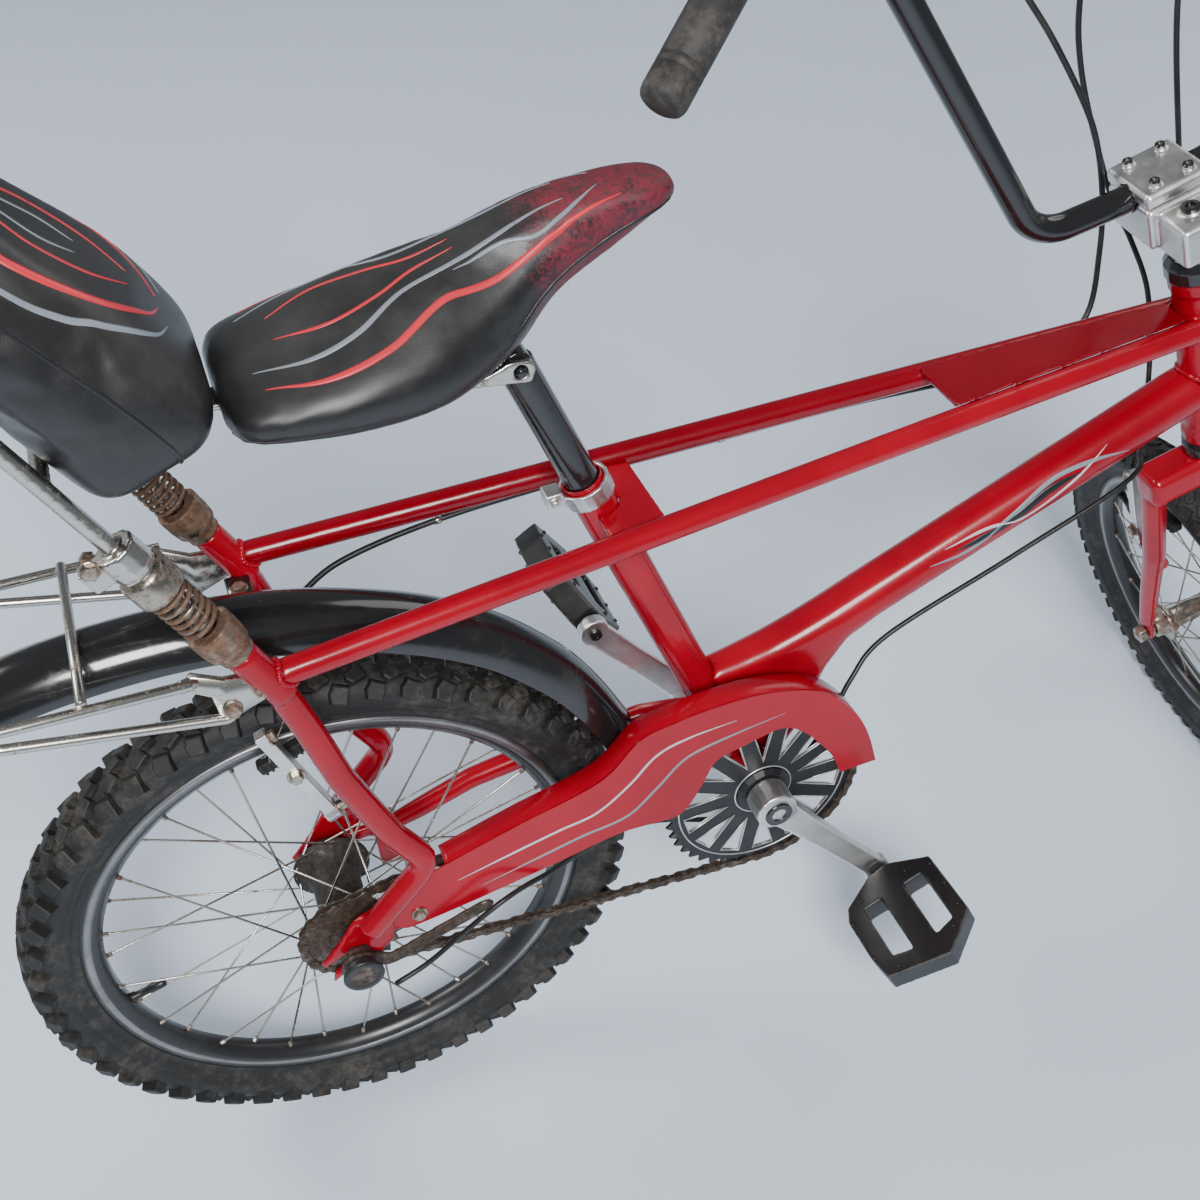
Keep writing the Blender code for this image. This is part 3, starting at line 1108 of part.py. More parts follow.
def cables(frame_parent, steering_parent):
    """Brake and gear cables along the routes that they are clipped to."""
    turned = STEERING_FRAME
    start = turned @ bar_matrix(LEVER_DISTANCE, 1) @ Vector((19, 0, 20.6))
    leave = turned @ bar_matrix(LEVER_DISTANCE, 1) @ Vector((23, 0, 44))
    rear = [start, leave, (462, 62, 722), (530, 70, 694), (592, 73, 648), (632, 72, 597), (658, 70, 561),
            (690, 66, 508), (705, 64, 473), (715, 62, 430), (717, 58, 388), (707, 48, 338), (672, 42, 318),
            (600, 43, 312), (500, 50, 313), (380, 56, 311), (260, 61, 309), (150, 62, 305), (70, 54, 298),
            (26, 40, 284), (-14, 44, 268)]
    node("rear_brake_cable", cord(rear, 2.4, 44), RUBBER, frame_parent)
    start = turned @ bar_matrix(LEVER_DISTANCE, -1) @ Vector((-17, 0, 20.6))
    leave = turned @ bar_matrix(LEVER_DISTANCE, -1) @ Vector((-21, 0, 46))
    gear = [start, leave, (800, 44, 872), (740, 80, 830), (704, 90, 740), (688, 90, 650), (686, 86, 582),
            (691, 84, 542), (705, 80, 494), (736, 76, 419), (756, 70, 382), (774, 59, 334), (776, 42, 270),
            (756, 12, 214), (728, -14, 203),
            (621, -15, 159), (502, -15, 113), (462, -26, 86), (438, -36, 56), (412, -38, 22), (380, -37, -22),
            (330, -34, -24), (275, -38, 4), (232, -45, 17), (195, -52, 14), (168, -59, 12), (144, -68, 17),
            (118, -76, 16), (84, -77, -4), (52, -78, -24), (22, -80.5, -33)]
    node("gear_cable", cord(gear, 2.3, 50), RUBBER, frame_parent)
    start = bar_matrix(LEVER_DISTANCE, -1) @ Vector((19, 0, 20.6))
    leave = bar_matrix(LEVER_DISTANCE, -1) @ Vector((22, 0, 50))
    front = [start, leave, (62, -158, 800), (90, -92, 700), (97, -62, 580), (95, -50, 440), (91, -44, 320),
             (84, -36, 230), (76, -32, 178), (64, -38, 164)]
    node("front_brake_cable", cord(front, 2.4, 38), RUBBER, steering_parent)


def lowest(shape, matrix):
    """Lowest height of a shape's points under a matrix, in metres."""
    return min((matrix @ vertex.co).z for vertex in shape.data.vertices)


def main():
    for item in list(bpy.data.objects):
        bpy.data.objects.remove(item, do_unlink=True)
    bike = empty("bike")
    turned = STEERING_FRAME.copy()
    turned.translation *= MM
    steering = empty("steering_axis", bike, turned)
    rear_wheel(bike)
    rear_axle(bike)
    stay(1, bike)
    stay(-1, bike)
    frame(bike)
    guard(bike)
    mudguard(bike)
    rack(bike)
    seat_support(bike)
    spring_cups(bike)
    chain(bike)
    headsets(bike)
    fork(steering)
    stem(steering)
    handlebar(steering)
    front_wheel(steering)
    brakes(bike, steering)
    crankset(bike)
    seat(bike)
    cables(bike, steering)

    rear_tyre = bpy.data.objects["rear_tyre"]
    front_tyre = bpy.data.objects["front_tyre"]
    pitch = 0.0
    for _ in range(6):
        bike.matrix_local = Matrix.Rotation(-LEAN, 4, "X") @ Matrix.Rotation(pitch, 4, "Y")
        bpy.context.view_layer.update()
        difference = lowest(front_tyre, front_tyre.matrix_world) - lowest(rear_tyre, rear_tyre.matrix_world)
        pitch += difference / 0.954
    ground = lowest(rear_tyre, rear_tyre.matrix_world)
    direction = Vector((0.10, 0.50, -0.86)).normalized()
    turned = bike.matrix_world.to_3x3()
    reach = 200.0
    while (turned @ (STAND_PIVOT + direction * reach)).z * MM > ground + 0.006:
        reach += 0.1
    kickstand(bike, STAND_PIVOT + direction * reach)

    bpy.context.view_layer.update()
    corners = [item.matrix_world @ vertex.co for item in bpy.data.objects if item.type == "MESH"
               for vertex in item.data.vertices]
    low = [min(c[i] for c in corners) for i in range(3)]
    high = [max(c[i] for c in corners) for i in range(3)]
    bike.location = Vector((-(low[0] + high[0]) / 2, -(low[1] + high[1]) / 2, -low[2]))
    bpy.context.view_layer.update()
    count = sum(len(item.data.loop_triangles) for item in bpy.data.objects if item.type == "MESH"
                and (item.data.calc_loop_triangles() or True))
    print(f"pitch {math.degrees(pitch):.4f} degrees, stand leg {reach:.1f} mm, location "
          f"{tuple(round(v, 6) for v in bike.location)}, size {[round(h - l, 4) for h, l in zip(high, low)]}, "
          f"{count} triangles")


if __name__ == "__main__":
    main()
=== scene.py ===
"""Looks of the chopper bicycle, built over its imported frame."""
import json
import math

import bmesh
import bpy
import numpy as np
from mathutils import Matrix, Vector
from mathutils.bvhtree import BVHTree

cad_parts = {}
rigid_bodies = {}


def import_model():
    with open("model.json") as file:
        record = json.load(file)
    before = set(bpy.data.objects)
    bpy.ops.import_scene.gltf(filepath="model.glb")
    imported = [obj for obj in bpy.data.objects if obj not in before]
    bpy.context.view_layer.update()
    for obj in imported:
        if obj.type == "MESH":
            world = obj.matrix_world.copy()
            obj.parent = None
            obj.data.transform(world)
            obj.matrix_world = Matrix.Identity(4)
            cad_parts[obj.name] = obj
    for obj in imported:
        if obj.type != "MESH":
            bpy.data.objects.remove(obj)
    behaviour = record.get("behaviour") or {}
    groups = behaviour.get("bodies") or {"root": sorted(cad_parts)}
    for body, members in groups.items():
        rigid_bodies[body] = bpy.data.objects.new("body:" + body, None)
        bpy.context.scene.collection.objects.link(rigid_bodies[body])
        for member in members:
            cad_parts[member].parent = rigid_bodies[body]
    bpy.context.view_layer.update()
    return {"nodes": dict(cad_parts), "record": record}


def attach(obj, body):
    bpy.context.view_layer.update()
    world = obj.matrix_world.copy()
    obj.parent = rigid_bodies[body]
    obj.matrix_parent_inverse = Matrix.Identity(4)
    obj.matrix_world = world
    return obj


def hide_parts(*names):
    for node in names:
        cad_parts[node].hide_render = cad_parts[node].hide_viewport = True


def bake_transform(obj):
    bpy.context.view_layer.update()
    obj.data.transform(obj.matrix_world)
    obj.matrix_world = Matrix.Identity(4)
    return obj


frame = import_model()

bl_info = {
    "name": "Chopper bicycle looks",
    "version": (1, 0, 0),
    "blender": (4, 5, 0),
    "location": "3D View > Sidebar > Bicycle",
    "description": "Dresses the bicycle's frame with tyres, paint, cushions and small parts",
    "category": "Object",
}

JOINTS = {joint["name"]: joint for joint in frame["record"]["behaviour"]["joints"]}
MM = 0.001
SIDES = ((1, "left"), (-1, "right"))
CHAIN_PITCH = 12.7
SPROCKET_TEETH = 20
RING_TEETH = 44
BRACKET_X = 369.5
BRACKET_RISE = 8.0
CHAIN_LINE = -44.0
CRANK_LENGTH = 170
CRANK_RIGHT = math.radians(-52)
CRANK_LEFT = math.radians(128)


def from_axes(*columns):
    """Matrix with the given X, Y and Z axes and origin."""
    return Matrix([(*column, last) for column, last in zip(columns, (0, 0, 0, 1))]).transposed()


def axes_of_bicycle():
    """Frame of the upright bicycle and frame of the turned fork, from the joints of the record."""
    hub = np.array(JOINTS["rear_wheel_spin"]["pos_m"])
    left = np.array(JOINTS["rear_wheel_spin"]["axis"])
    reach = np.array(JOINTS["crank_spin"]["pos_m"]) - hub
    reach /= np.linalg.norm(reach)
    angle = math.atan2(BRACKET_RISE, BRACKET_X)
    square = np.cross(reach, left)
    bike = from_axes(math.cos(angle) * reach - math.sin(angle) * square, left,
                     math.sin(angle) * reach + math.cos(angle) * square, hub)
    up = np.array(JOINTS["steering"]["axis"])
    left = np.array(JOINTS["front_wheel_spin"]["axis"])
    return bike, from_axes(np.cross(left, up), left, up, JOINTS["steering"]["pos_m"])


BIKE, FORK = axes_of_bicycle()
FRONT_AXLE = (52.0, 0.0, -65.0)
SPRING_LEAN = math.radians(25.5)


def spring_point(height, side, back=0.0):
    """Point on the leaning line of a spring, at a height of the upright bicycle."""
    rise = height - 377.0
    return Vector((-32.0 - rise * math.tan(SPRING_LEAN) - back, 70.0 * side, height))


def mirrored(points, side):
    return [Vector((p[0], p[1] * side, p[2])) for p in points]


# Shapes

def points_in(matrix, points):
    """Millimetre points of a drawing frame as world points in metres."""
    return [matrix @ (Vector(p) * MM) for p in points]


def new_object(name, data):
    """A linked object at the origin."""
    made = bpy.data.objects.new(name, data)
    bpy.context.scene.collection.objects.link(made)
    return made


def face_outward(mesh):
    """Turns the faces of a mesh outward."""
    fixer = bmesh.new()
    fixer.from_mesh(mesh)
    bmesh.ops.recalc_face_normals(fixer, faces=fixer.faces)
    fixer.to_mesh(mesh)
    fixer.free()


def tree_of(piece):
    """Search tree over the faces of a piece."""
    return BVHTree.FromPolygons([v.co for v in piece.data.vertices],
                                [p.vertices for p in piece.data.polygons])


def make_piece(name, points, faces, material, body=None, hides=(), smooth=True):
    """A mesh piece at the origin that rides a body."""
    mesh = bpy.data.meshes.new(name)
    mesh.from_pydata([tuple(p) for p in points], [], [tuple(f) for f in faces])
    mesh.validate()
    face_outward(mesh)
    mesh.polygons.foreach_set("use_smooth", [smooth] * len(mesh.polygons))
    piece = new_object(name, mesh)
    mesh.materials.append(material)
    if body:
        place(piece, body, hides)
    return piece


def place(piece, body, hides=()):
    """Lets a piece ride a body and stand for the CAD nodes that it hides."""
    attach(piece, body)
    if hides:
        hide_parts(*hides)
    return piece


def join(shapes):
    """Joins (points, faces) shapes into one."""
    points, faces = [], []
    for more_points, more_faces in shapes:
        start = len(points)
        points.extend(more_points)
        faces.extend([tuple(i + start for i in face) for face in more_faces])
    return points, faces


def skin(rings, closed_path=False, capped=True):
    """Faces between rings of equal count."""
    count = len(rings[0])
    points = [p for ring in rings for p in ring]
    faces = []
    spans = len(rings) if closed_path else len(rings) - 1
    for i in range(spans):
        a, b = i * count, ((i + 1) % len(rings)) * count
        for k in range(count):
            n = (k + 1) % count
            faces.append((a + k, a + n, b + n, b + k))
    if capped and not closed_path:
        faces.append(tuple(range(count))[::-1])
        faces.append(tuple(range((len(rings) - 1) * count, len(rings) * count)))
    return points, faces


def lathe(profile, count, matrix=None, ring=False):
    """Turns (radius, height) points about Z; a ring profile closes on itself."""
    rings = []
    for k in range(count):
        turn = 2 * math.pi * k / count
        rings.append([Vector((r * math.cos(turn), r * math.sin(turn), z)) for r, z in profile])
    if matrix is not None:
        rings = [[matrix @ p for p in r] for r in rings]
    size = len(profile)
    points = [p for r in rings for p in r]
    faces = []
    for k in range(count):
        a, b = k * size, ((k + 1) % count) * size
        for i in range(size if ring else size - 1):
            n = (i + 1) % size
            faces.append((a + i, a + n, b + n, b + i))
    if not ring:
        for end in (0, size - 1):
            if profile[end][0] > 1e-6:
                faces.append(tuple(k * size + end for k in range(count)))
    return points, faces


def aim(start, end):
    """Matrix with Z from start to end."""
    start, end = Vector(start), Vector(end)
    z = (end - start).normalized()
    x = z.orthogonal().normalized()
    return from_axes(x, z.cross(x), z, start)


def across(centre=(0, 0, 0)):
    """Matrix that lays a lathe along the wheel's axle."""
    return Matrix.Translation(Vector(centre)) @ Matrix.Rotation(-math.pi / 2, 4, "X")


def smooth_path(corners, step, tightness=0.5):
    """Even points on a curve through the corners."""
    corners = [Vector(c) for c in corners]
    ends = [2 * corners[0] - corners[1], *corners, 2 * corners[-1] - corners[-2]]
    fine = []
    for a, b, c, d in zip(ends, ends[1:], ends[2:], ends[3:]):
        for i in range(24):
            t = i / 24
            out = (c - a) * tightness
            into = (d - b) * tightness
            fine.append((2 * t ** 3 - 3 * t ** 2 + 1) * b + (t ** 3 - 2 * t ** 2 + t) * out
                        + (3 * t ** 2 - 2 * t ** 3) * c + (t ** 3 - t ** 2) * into)
    fine.append(corners[-1])
    lengths = [0.0]
    for a, b in zip(fine, fine[1:]):
        lengths.append(lengths[-1] + (b - a).length)
    count = max(2, round(lengths[-1] / step))
    path, k = [], 0
    for i in range(count + 1):
        want = lengths[-1] * i / count
        while k < len(fine) - 2 and lengths[k + 1] < want:
            k += 1
        span = lengths[k + 1] - lengths[k]
        path.append(fine[k].lerp(fine[k + 1], (want - lengths[k]) / span if span else 0))
    return path


def bend_path(corners, radius, steps=8):
    """Straight runs joined by round bends."""
    corners = [Vector(c) for c in corners]
    path = [corners[0]]
    for before, here, after in zip(corners, corners[1:], corners[2:]):
        to_before = (before - here).normalized()
        to_after = (after - here).normalized()
        angle = to_before.angle(to_after)
        if angle > math.pi - 1e-3:
            continue
        reach = min(radius / math.tan(angle / 2), (before - here).length * 0.49, (after - here).length * 0.49)
        true_radius = reach * math.tan(angle / 2)
        centre = here + (to_before + to_after).normalized() * (true_radius / math.sin(angle / 2))
        first = here + to_before * reach - centre
        last = here + to_after * reach - centre
        for i in range(steps + 1):
            path.append(centre + first.normalized().slerp(last.normalized(), i / steps) * true_radius)
    path.append(corners[-1])
    return path


def sweep(path, radius, sides=20, closed=False):
    """Tube along a path with a radius, or one radius per point, and softly rounded ends."""
    path = [Vector(p) for p in path]
    radii = list(radius) if isinstance(radius, (list, tuple)) else [radius] * len(path)
    if not closed:
        first, last = (path[0] - path[1]).normalized(), (path[-1] - path[-2]).normalized()
        soft = 0.18
        path = [path[0], path[0] - first * radii[0] * soft, *path[1:-1],
                path[-1] - last * radii[-1] * soft, path[-1]]
        radii = [radii[0] * (1 - soft), radii[0], *radii[1:-1], radii[-1], radii[-1] * (1 - soft)]
    rings = []
    count = len(path)
    normal = None
    for i, point in enumerate(path):
        before = path[(i - 1) % count] if closed else path[max(0, i - 1)]
        after = path[(i + 1) % count] if closed else path[min(count - 1, i + 1)]
        along = (after - before).normalized()
        normal = along.orthogonal() if normal is None else normal - normal.dot(along) * along
        normal.normalize()
        other = along.cross(normal)
        rings.append([point + (normal * math.cos(2 * math.pi * k / sides)
                               + other * math.sin(2 * math.pi * k / sides)) * radii[i] for k in range(sides)])
    return skin(rings, closed)


def placed(matrix, shape):
    """A millimetre shape moved into the world."""
    points, faces = shape
    return points_in(matrix, points), faces


def side_path(points, step):
    """Smooth path through (x, z) points of the bicycle's middle plane."""
    return smooth_path([Vector((x, 0, z)) for x, z in points], step)


def ribbon(path, profile):
    """Skin of an (offset, y) profile carried along a path in the X, Z plane."""
    rings = []
    for i, p in enumerate(path):
        along = (path[min(i + 1, len(path) - 1)] - path[max(0, i - 1)]).normalized()
        normal = Vector((along.z, 0, -along.x))
        rings.append([p + normal * d + Vector((0, y, 0)) for d, y in profile])
    return skin(rings)


def slab(outline, low, high, edge=0.0):
    """Plate from an (x, z) outline between two heights across, with a small bevel on both rims."""
    middle = Vector((sum(p[0] for p in outline) / len(outline), 0, sum(p[1] for p in outline) / len(outline)))
    levels = [(low, edge), (low + edge, 0), (high - edge, 0), (high, edge)] if edge else [(low, 0), (high, 0)]
    rings = []
    for level, inset in levels:
        ring = []
        for x, z in outline:
            p = Vector((x, level, z))
            inward = Vector((middle.x - x, 0, middle.z - z))
            ring.append(p + inward.normalized() * inset if inset else p)
        rings.append(ring)
    return skin(rings)


def block(low, high, edge=0.6, matrix=None):
    """Box with chamfered edges."""
    xs, ys = (low[0], high[0]), (low[1], high[1])
    outline = [(xs[0] + edge, ys[0]), (xs[1] - edge, ys[0]), (xs[1], ys[0] + edge), (xs[1], ys[1] - edge),
               (xs[1] - edge, ys[1]), (xs[0] + edge, ys[1]), (xs[0], ys[1] - edge), (xs[0], ys[0] + edge)]
    middle = Vector(((xs[0] + xs[1]) / 2, (ys[0] + ys[1]) / 2, 0))
    shrink = [1 - 2 * edge / (xs[1] - xs[0]), 1 - 2 * edge / (ys[1] - ys[0])]
    rings = []
    for z, full in ((low[2], False), (low[2] + edge, True), (high[2] - edge, True), (high[2], False)):
        ring = []
        for x, y in outline:
            fx, fy = (1, 1) if full else shrink
            p = Vector((middle.x + (x - middle.x) * fx, middle.y + (y - middle.y) * fy, z))
            ring.append(matrix @ p if matrix is not None else p)
        rings.append(ring)
    return skin(rings)


def hexagon_bolt(start, end, across_flats, socket=True, washer=0.0):
    """Bolt head from start outward to end, with a dished socket or a plain crown."""
    matrix = aim(start, end)
    tall = (Vector(end) - Vector(start)).length
    r = across_flats / 2
    shapes = []
    if washer:
        shapes.append(lathe([(0.01, -0.2), (washer, -0.2), (washer, 0.9), (washer - 0.4, 1.2), (0.01, 1.2)],
                            24, matrix))
    if socket:
        shapes.append(lathe([(0.01, 0), (r, 0), (r, tall - 0.5), (r - 0.5, tall), (r * 0.55, tall),
                             (r * 0.55, tall * 0.45), (0.01, tall * 0.4)], 24, matrix))
    else:
        r /= math.cos(math.pi / 6)
        rings = []
        for radius, z in ((r, 0), (r, tall - 0.8), (r * 0.88, tall)):
            rings.append([matrix @ Vector((radius * math.cos(k * math.pi / 3), radius
                                           * math.sin(k * math.pi / 3), z)) for k in range(6)])
        shapes.append(skin(rings))
    return join(shapes)


# Repeated pieces

class NodeTree:
    """Geometry Nodes tree with named inputs, made in order from left to right."""

    def __init__(self, name):
        self.tree = bpy.data.node_groups.new(name, "GeometryNodeTree")
        self.tree.interface.new_socket("Geometry", in_out="INPUT", socket_type="NodeSocketGeometry")
        self.tree.interface.new_socket("Geometry", in_out="OUTPUT", socket_type="NodeSocketGeometry")
        self.start = self.tree.nodes.new("NodeGroupInput")
        self.values = {}

    def input(self, name, kind, value=None):
        socket = self.tree.interface.new_socket(name, in_out="INPUT", socket_type=kind)
        if value is not None:
            socket.default_value = value
        return self.start.outputs[name]

    def add(self, kind, settings=(), **inputs):
        node = self.tree.nodes.new(kind)
        for key, value in dict(settings).items():
            setattr(node, key, value)
        for key, value in inputs.items():
            socket = node.inputs[key.replace("_", " ")]
            if isinstance(value, bpy.types.NodeSocket):
                self.tree.links.new(value, socket)
            else:
                socket.default_value = value
        return node

    def finish(self, geometry, material):
        real = self.add("GeometryNodeRealizeInstances", Geometry=geometry)
        painted = self.add("GeometryNodeSetMaterial", Geometry=real.outputs[0], Material=material)
        end = self.tree.nodes.new("NodeGroupOutput")
        self.tree.links.new(painted.outputs[0], end.inputs[0])
        return self.tree


def run_tree(name, base, tree, material, values, body, hides=(), smooth=False):
    """Runs a tree on a base mesh and keeps the result as a plain piece."""
    carrier = new_object(name + "_base", base)
    modifier = carrier.modifiers.new("Repeat", "NODES")
    modifier.node_group = tree
    for item in tree.interface.items_tree:
        if item.in_out == "INPUT" and item.name in values:
            modifier[item.identifier] = values[item.name]
    bpy.context.view_layer.update()
    graph = bpy.context.evaluated_depsgraph_get()
    mesh = bpy.data.meshes.new_from_object(carrier.evaluated_get(graph))
    carrier.modifiers.remove(modifier)
    bpy.data.objects.remove(carrier)
    mesh.name = name
    mesh.polygons.foreach_set("use_smooth", [smooth] * len(mesh.polygons))
    mesh.materials.clear()
    mesh.materials.append(material)
    return place(new_object(name, mesh), body, hides)


def repeat_piece(name, shape, frames, material, body, variation=0.0, hides=(), smooth=False):
    """Sets a small shape at each frame (a matrix in metres), with a seeded change of size."""
    points, faces = shape
    pattern_mesh = bpy.data.meshes.new(name + "_one")
    pattern_mesh.from_pydata([tuple(Vector(p) * MM) for p in points], [], faces)
    face_outward(pattern_mesh)
    pattern = new_object(name + "_one", pattern_mesh)
    base = bpy.data.meshes.new(name + "_points")
    base.from_pydata([tuple(f.translation) for f in frames], [], [])
    turns = base.attributes.new("turn", "FLOAT_VECTOR", "POINT")
    turns.data.foreach_set("vector", [v for f in frames for v in f.to_euler("XYZ")])
    nodes = NodeTree(name)
    instance = nodes.input("Shape", "NodeSocketObject")
    spread = nodes.input("Size change", "NodeSocketFloat", 0.0)
    cloud = nodes.add("GeometryNodeMeshToPoints", Mesh=nodes.start.outputs["Geometry"])
    info = nodes.add("GeometryNodeObjectInfo", Object=instance)
    turn = nodes.add("GeometryNodeInputNamedAttribute", {"data_type": "FLOAT_VECTOR"}, Name="turn")
    spin = nodes.add("FunctionNodeEulerToRotation", Euler=turn.outputs[0])
    low = nodes.add("ShaderNodeMath", {"operation": "SUBTRACT"})
    low.inputs[0].default_value = 1.0
    nodes.tree.links.new(spread, low.inputs[1])
    chance = nodes.add("FunctionNodeRandomValue", {"data_type": "FLOAT"})
    floats = [s for s in chance.inputs if s.type == "VALUE" and s.enabled]
    nodes.tree.links.new(low.outputs[0], floats[0])
    floats[1].default_value = 1.0
    chance.inputs["Seed"].default_value = 7
    drawn = [s for s in chance.outputs if s.enabled][0]
    spots = nodes.add("GeometryNodeInstanceOnPoints", Points=cloud.outputs[0],
                      Instance=info.outputs["Geometry"], Rotation=spin.outputs[0], Scale=drawn)
    tree = nodes.finish(spots.outputs[0], material)
    piece = run_tree(name, base, tree, material, {"Shape": pattern, "Size change": variation}, body, hides,
                     smooth)
    bpy.data.objects.remove(pattern)
    return piece


def thread_piece(name, runs, radius, material, body, sides=8):
    """Thin rods or wires along polylines (points in metres)."""
    points, edges = [], []
    for run in runs:
        start = len(points)
        points.extend(tuple(p) for p in run)
        edges.extend((start + i, start + i + 1) for i in range(len(run) - 1))
    base = bpy.data.meshes.new(name + "_lines")
    base.from_pydata(points, edges, [])
    nodes = NodeTree(name)
    thick = nodes.input("Radius", "NodeSocketFloat", 0.001)
    line = nodes.add("GeometryNodeMeshToCurve", Mesh=nodes.start.outputs["Geometry"])
    ring = nodes.add("GeometryNodeCurvePrimitiveCircle", Resolution=sides, Radius=thick)
    solid = nodes.add("GeometryNodeCurveToMesh", Curve=line.outputs[0], Profile_Curve=ring.outputs[0],
                      Fill_Caps=True)
    tree = nodes.finish(solid.outputs[0], material)
    return run_tree(name, base, tree, material, {"Radius": radius}, body, smooth=True)


# Surfaces

class Mix:
    """A shader socket that takes part in sums; plain numbers are worked out in Python."""

    def __init__(self, tree, socket):
        self.tree = tree
        self.socket = socket

    def _math(self, operation, *values, clamp=False):
        node = self.tree.nodes.new("ShaderNodeMath")
        node.operation = operation
        node.use_clamp = clamp
        for i, value in enumerate(values):
            if isinstance(value, Mix):
                self.tree.links.new(value.socket, node.inputs[i])
            else:
                node.inputs[i].default_value = value
        return Mix(self.tree, node.outputs[0])

    def __add__(self, other):
        return self._math("ADD", self, other)

    def __sub__(self, other):
        return self._math("SUBTRACT", self, other)

    def __rsub__(self, other):
        return self._math("SUBTRACT", other, self)

    def __mul__(self, other):
        return self._math("MULTIPLY", self, other)

    __radd__ = __add__
    __rmul__ = __mul__

    def step(self, low, high):
        """Rises from 0 at low to 1 at high."""
        node = self.tree.nodes.new("ShaderNodeMapRange")
        node.interpolation_type = "SMOOTHSTEP"
        self.tree.links.new(self.socket, node.inputs["Value"])
        if low > high:
            low, high = high, low
            node.inputs["To Min"].default_value = 1.0
            node.inputs["To Max"].default_value = 0.0
        node.inputs["From Min"].default_value = low
        node.inputs["From Max"].default_value = high
        return Mix(self.tree, node.outputs[0])

    def larger(self, other):
        return self._math("MAXIMUM", self, other)


class Finish:
    """Builder of one material."""

    def __init__(self, name, roughness=0.5, metallic=0.0, coat=0.0, specular=0.5):
        self.material = bpy.data.materials.new(name)
        self.material.use_nodes = True
        self.tree = self.material.node_tree
        self.shader = self.tree.nodes["Principled BSDF"]
        self.shader.inputs["Metallic"].default_value = metallic
        self.shader.inputs["Roughness"].default_value = roughness
        self.shader.inputs["Coat Weight"].default_value = coat
        self.shader.inputs["Coat Roughness"].default_value = 0.06
        self.shader.inputs["Specular IOR Level"].default_value = specular
        self.spot = self.node("ShaderNodeTexCoord").outputs["Object"]

    def node(self, kind, settings=(), **inputs):
        node = self.tree.nodes.new(kind)
        for key, value in dict(settings).items():
            setattr(node, key, value)
        for key, value in inputs.items():
            socket = node.inputs[key.replace("_", " ")]
            if isinstance(value, Mix):
                self.tree.links.new(value.socket, socket)
            elif isinstance(value, bpy.types.NodeSocket):
                self.tree.links.new(value, socket)
            else:
                socket.default_value = value
        return node

    def noise(self, scale, detail=3.0, roughness=0.55, distortion=0.0, spot=None):
        node = self.node("ShaderNodeTexNoise", Vector=spot or self.spot, Scale=scale, Detail=detail,
                         Roughness=roughness, Distortion=distortion)
        return Mix(self.tree, node.outputs[0])

    def cells(self, scale):
        node = self.node("ShaderNodeTexVoronoi", Vector=self.spot, Scale=scale)
        return Mix(self.tree, node.outputs["Distance"])

    def stretched(self, scale):
        """Object coordinates with another scale along each axis."""
        return self.node("ShaderNodeMapping", Vector=self.spot, Scale=scale).outputs[0]

    def attribute(self, name):
        return Mix(self.tree, self.node("ShaderNodeAttribute", {"attribute_name": name}).outputs["Fac"])

    def blend(self, factor, first, second):
        """Colour between two colours or colour sockets."""
        node = self.tree.nodes.new("ShaderNodeMix")
        node.data_type = "RGBA"
        for socket, value in ((node.inputs[0], factor), (node.inputs[6], first), (node.inputs[7], second)):
            if isinstance(value, Mix):
                self.tree.links.new(value.socket, socket)
            elif isinstance(value, bpy.types.NodeSocket):
                self.tree.links.new(value, socket)
            else:
                socket.default_value = value if isinstance(value, float) else (*value, 1.0)
        return node.outputs[2]

    def colour(self, socket):
        self.tree.links.new(socket, self.shader.inputs["Base Color"])

    def set(self, name, value):
        self.tree.links.new(value.socket, self.shader.inputs[name])

    def bump(self, height, strength=0.3, distance=0.001):
        node = self.node("ShaderNodeBump", Height=height, Strength=strength, Distance=distance)
        self.tree.links.new(node.outputs[0], self.shader.inputs["Normal"])
        return self


def enamel(name, colour, chips=1.0, dust=0.0):
    """Glossy enamel with soft unevenness, scratches, and chips on worn edges."""
    f = Finish(name, roughness=0.22, coat=0.26, specular=0.28)
    large = f.noise(9.0, 4.0)
    fine = f.noise(260.0, 3.0, 0.7)
    edge = f.attribute("edge")
    worn = (edge * 0.3 + f.noise(75.0, 5.0, 0.75) * 0.75 + f.noise(21.0, 2.0) * 0.45).step(1.12, 1.17) * chips
    speck = (f.noise(140.0, 2.0, 0.6) * f.noise(17.0, 2.0)).step(0.5, 0.53) * (0.7 * chips)
    chip = worn.larger(speck)
    darker = tuple(c * 0.72 for c in colour)
    body = f.blend(large.step(0.3, 0.75), darker, colour)
    grime = f.noise(38.0, 5.0, 0.8).step(0.56, 0.8) * (0.14 + dust)
    body = f.blend(grime, body, (0.05, 0.03, 0.025))
    body = f.blend(chip, body, (0.62, 0.55, 0.52))
    f.colour(body)
    f.set("Roughness", (large * 0.16 + fine * 0.1 + grime * 0.6 + 0.1 + chip * 0.25))
    return f.bump(fine * 0.15 - chip * 1.0 + f.noise(30.0, 2.0) * 0.2, 0.12, 0.0006).material


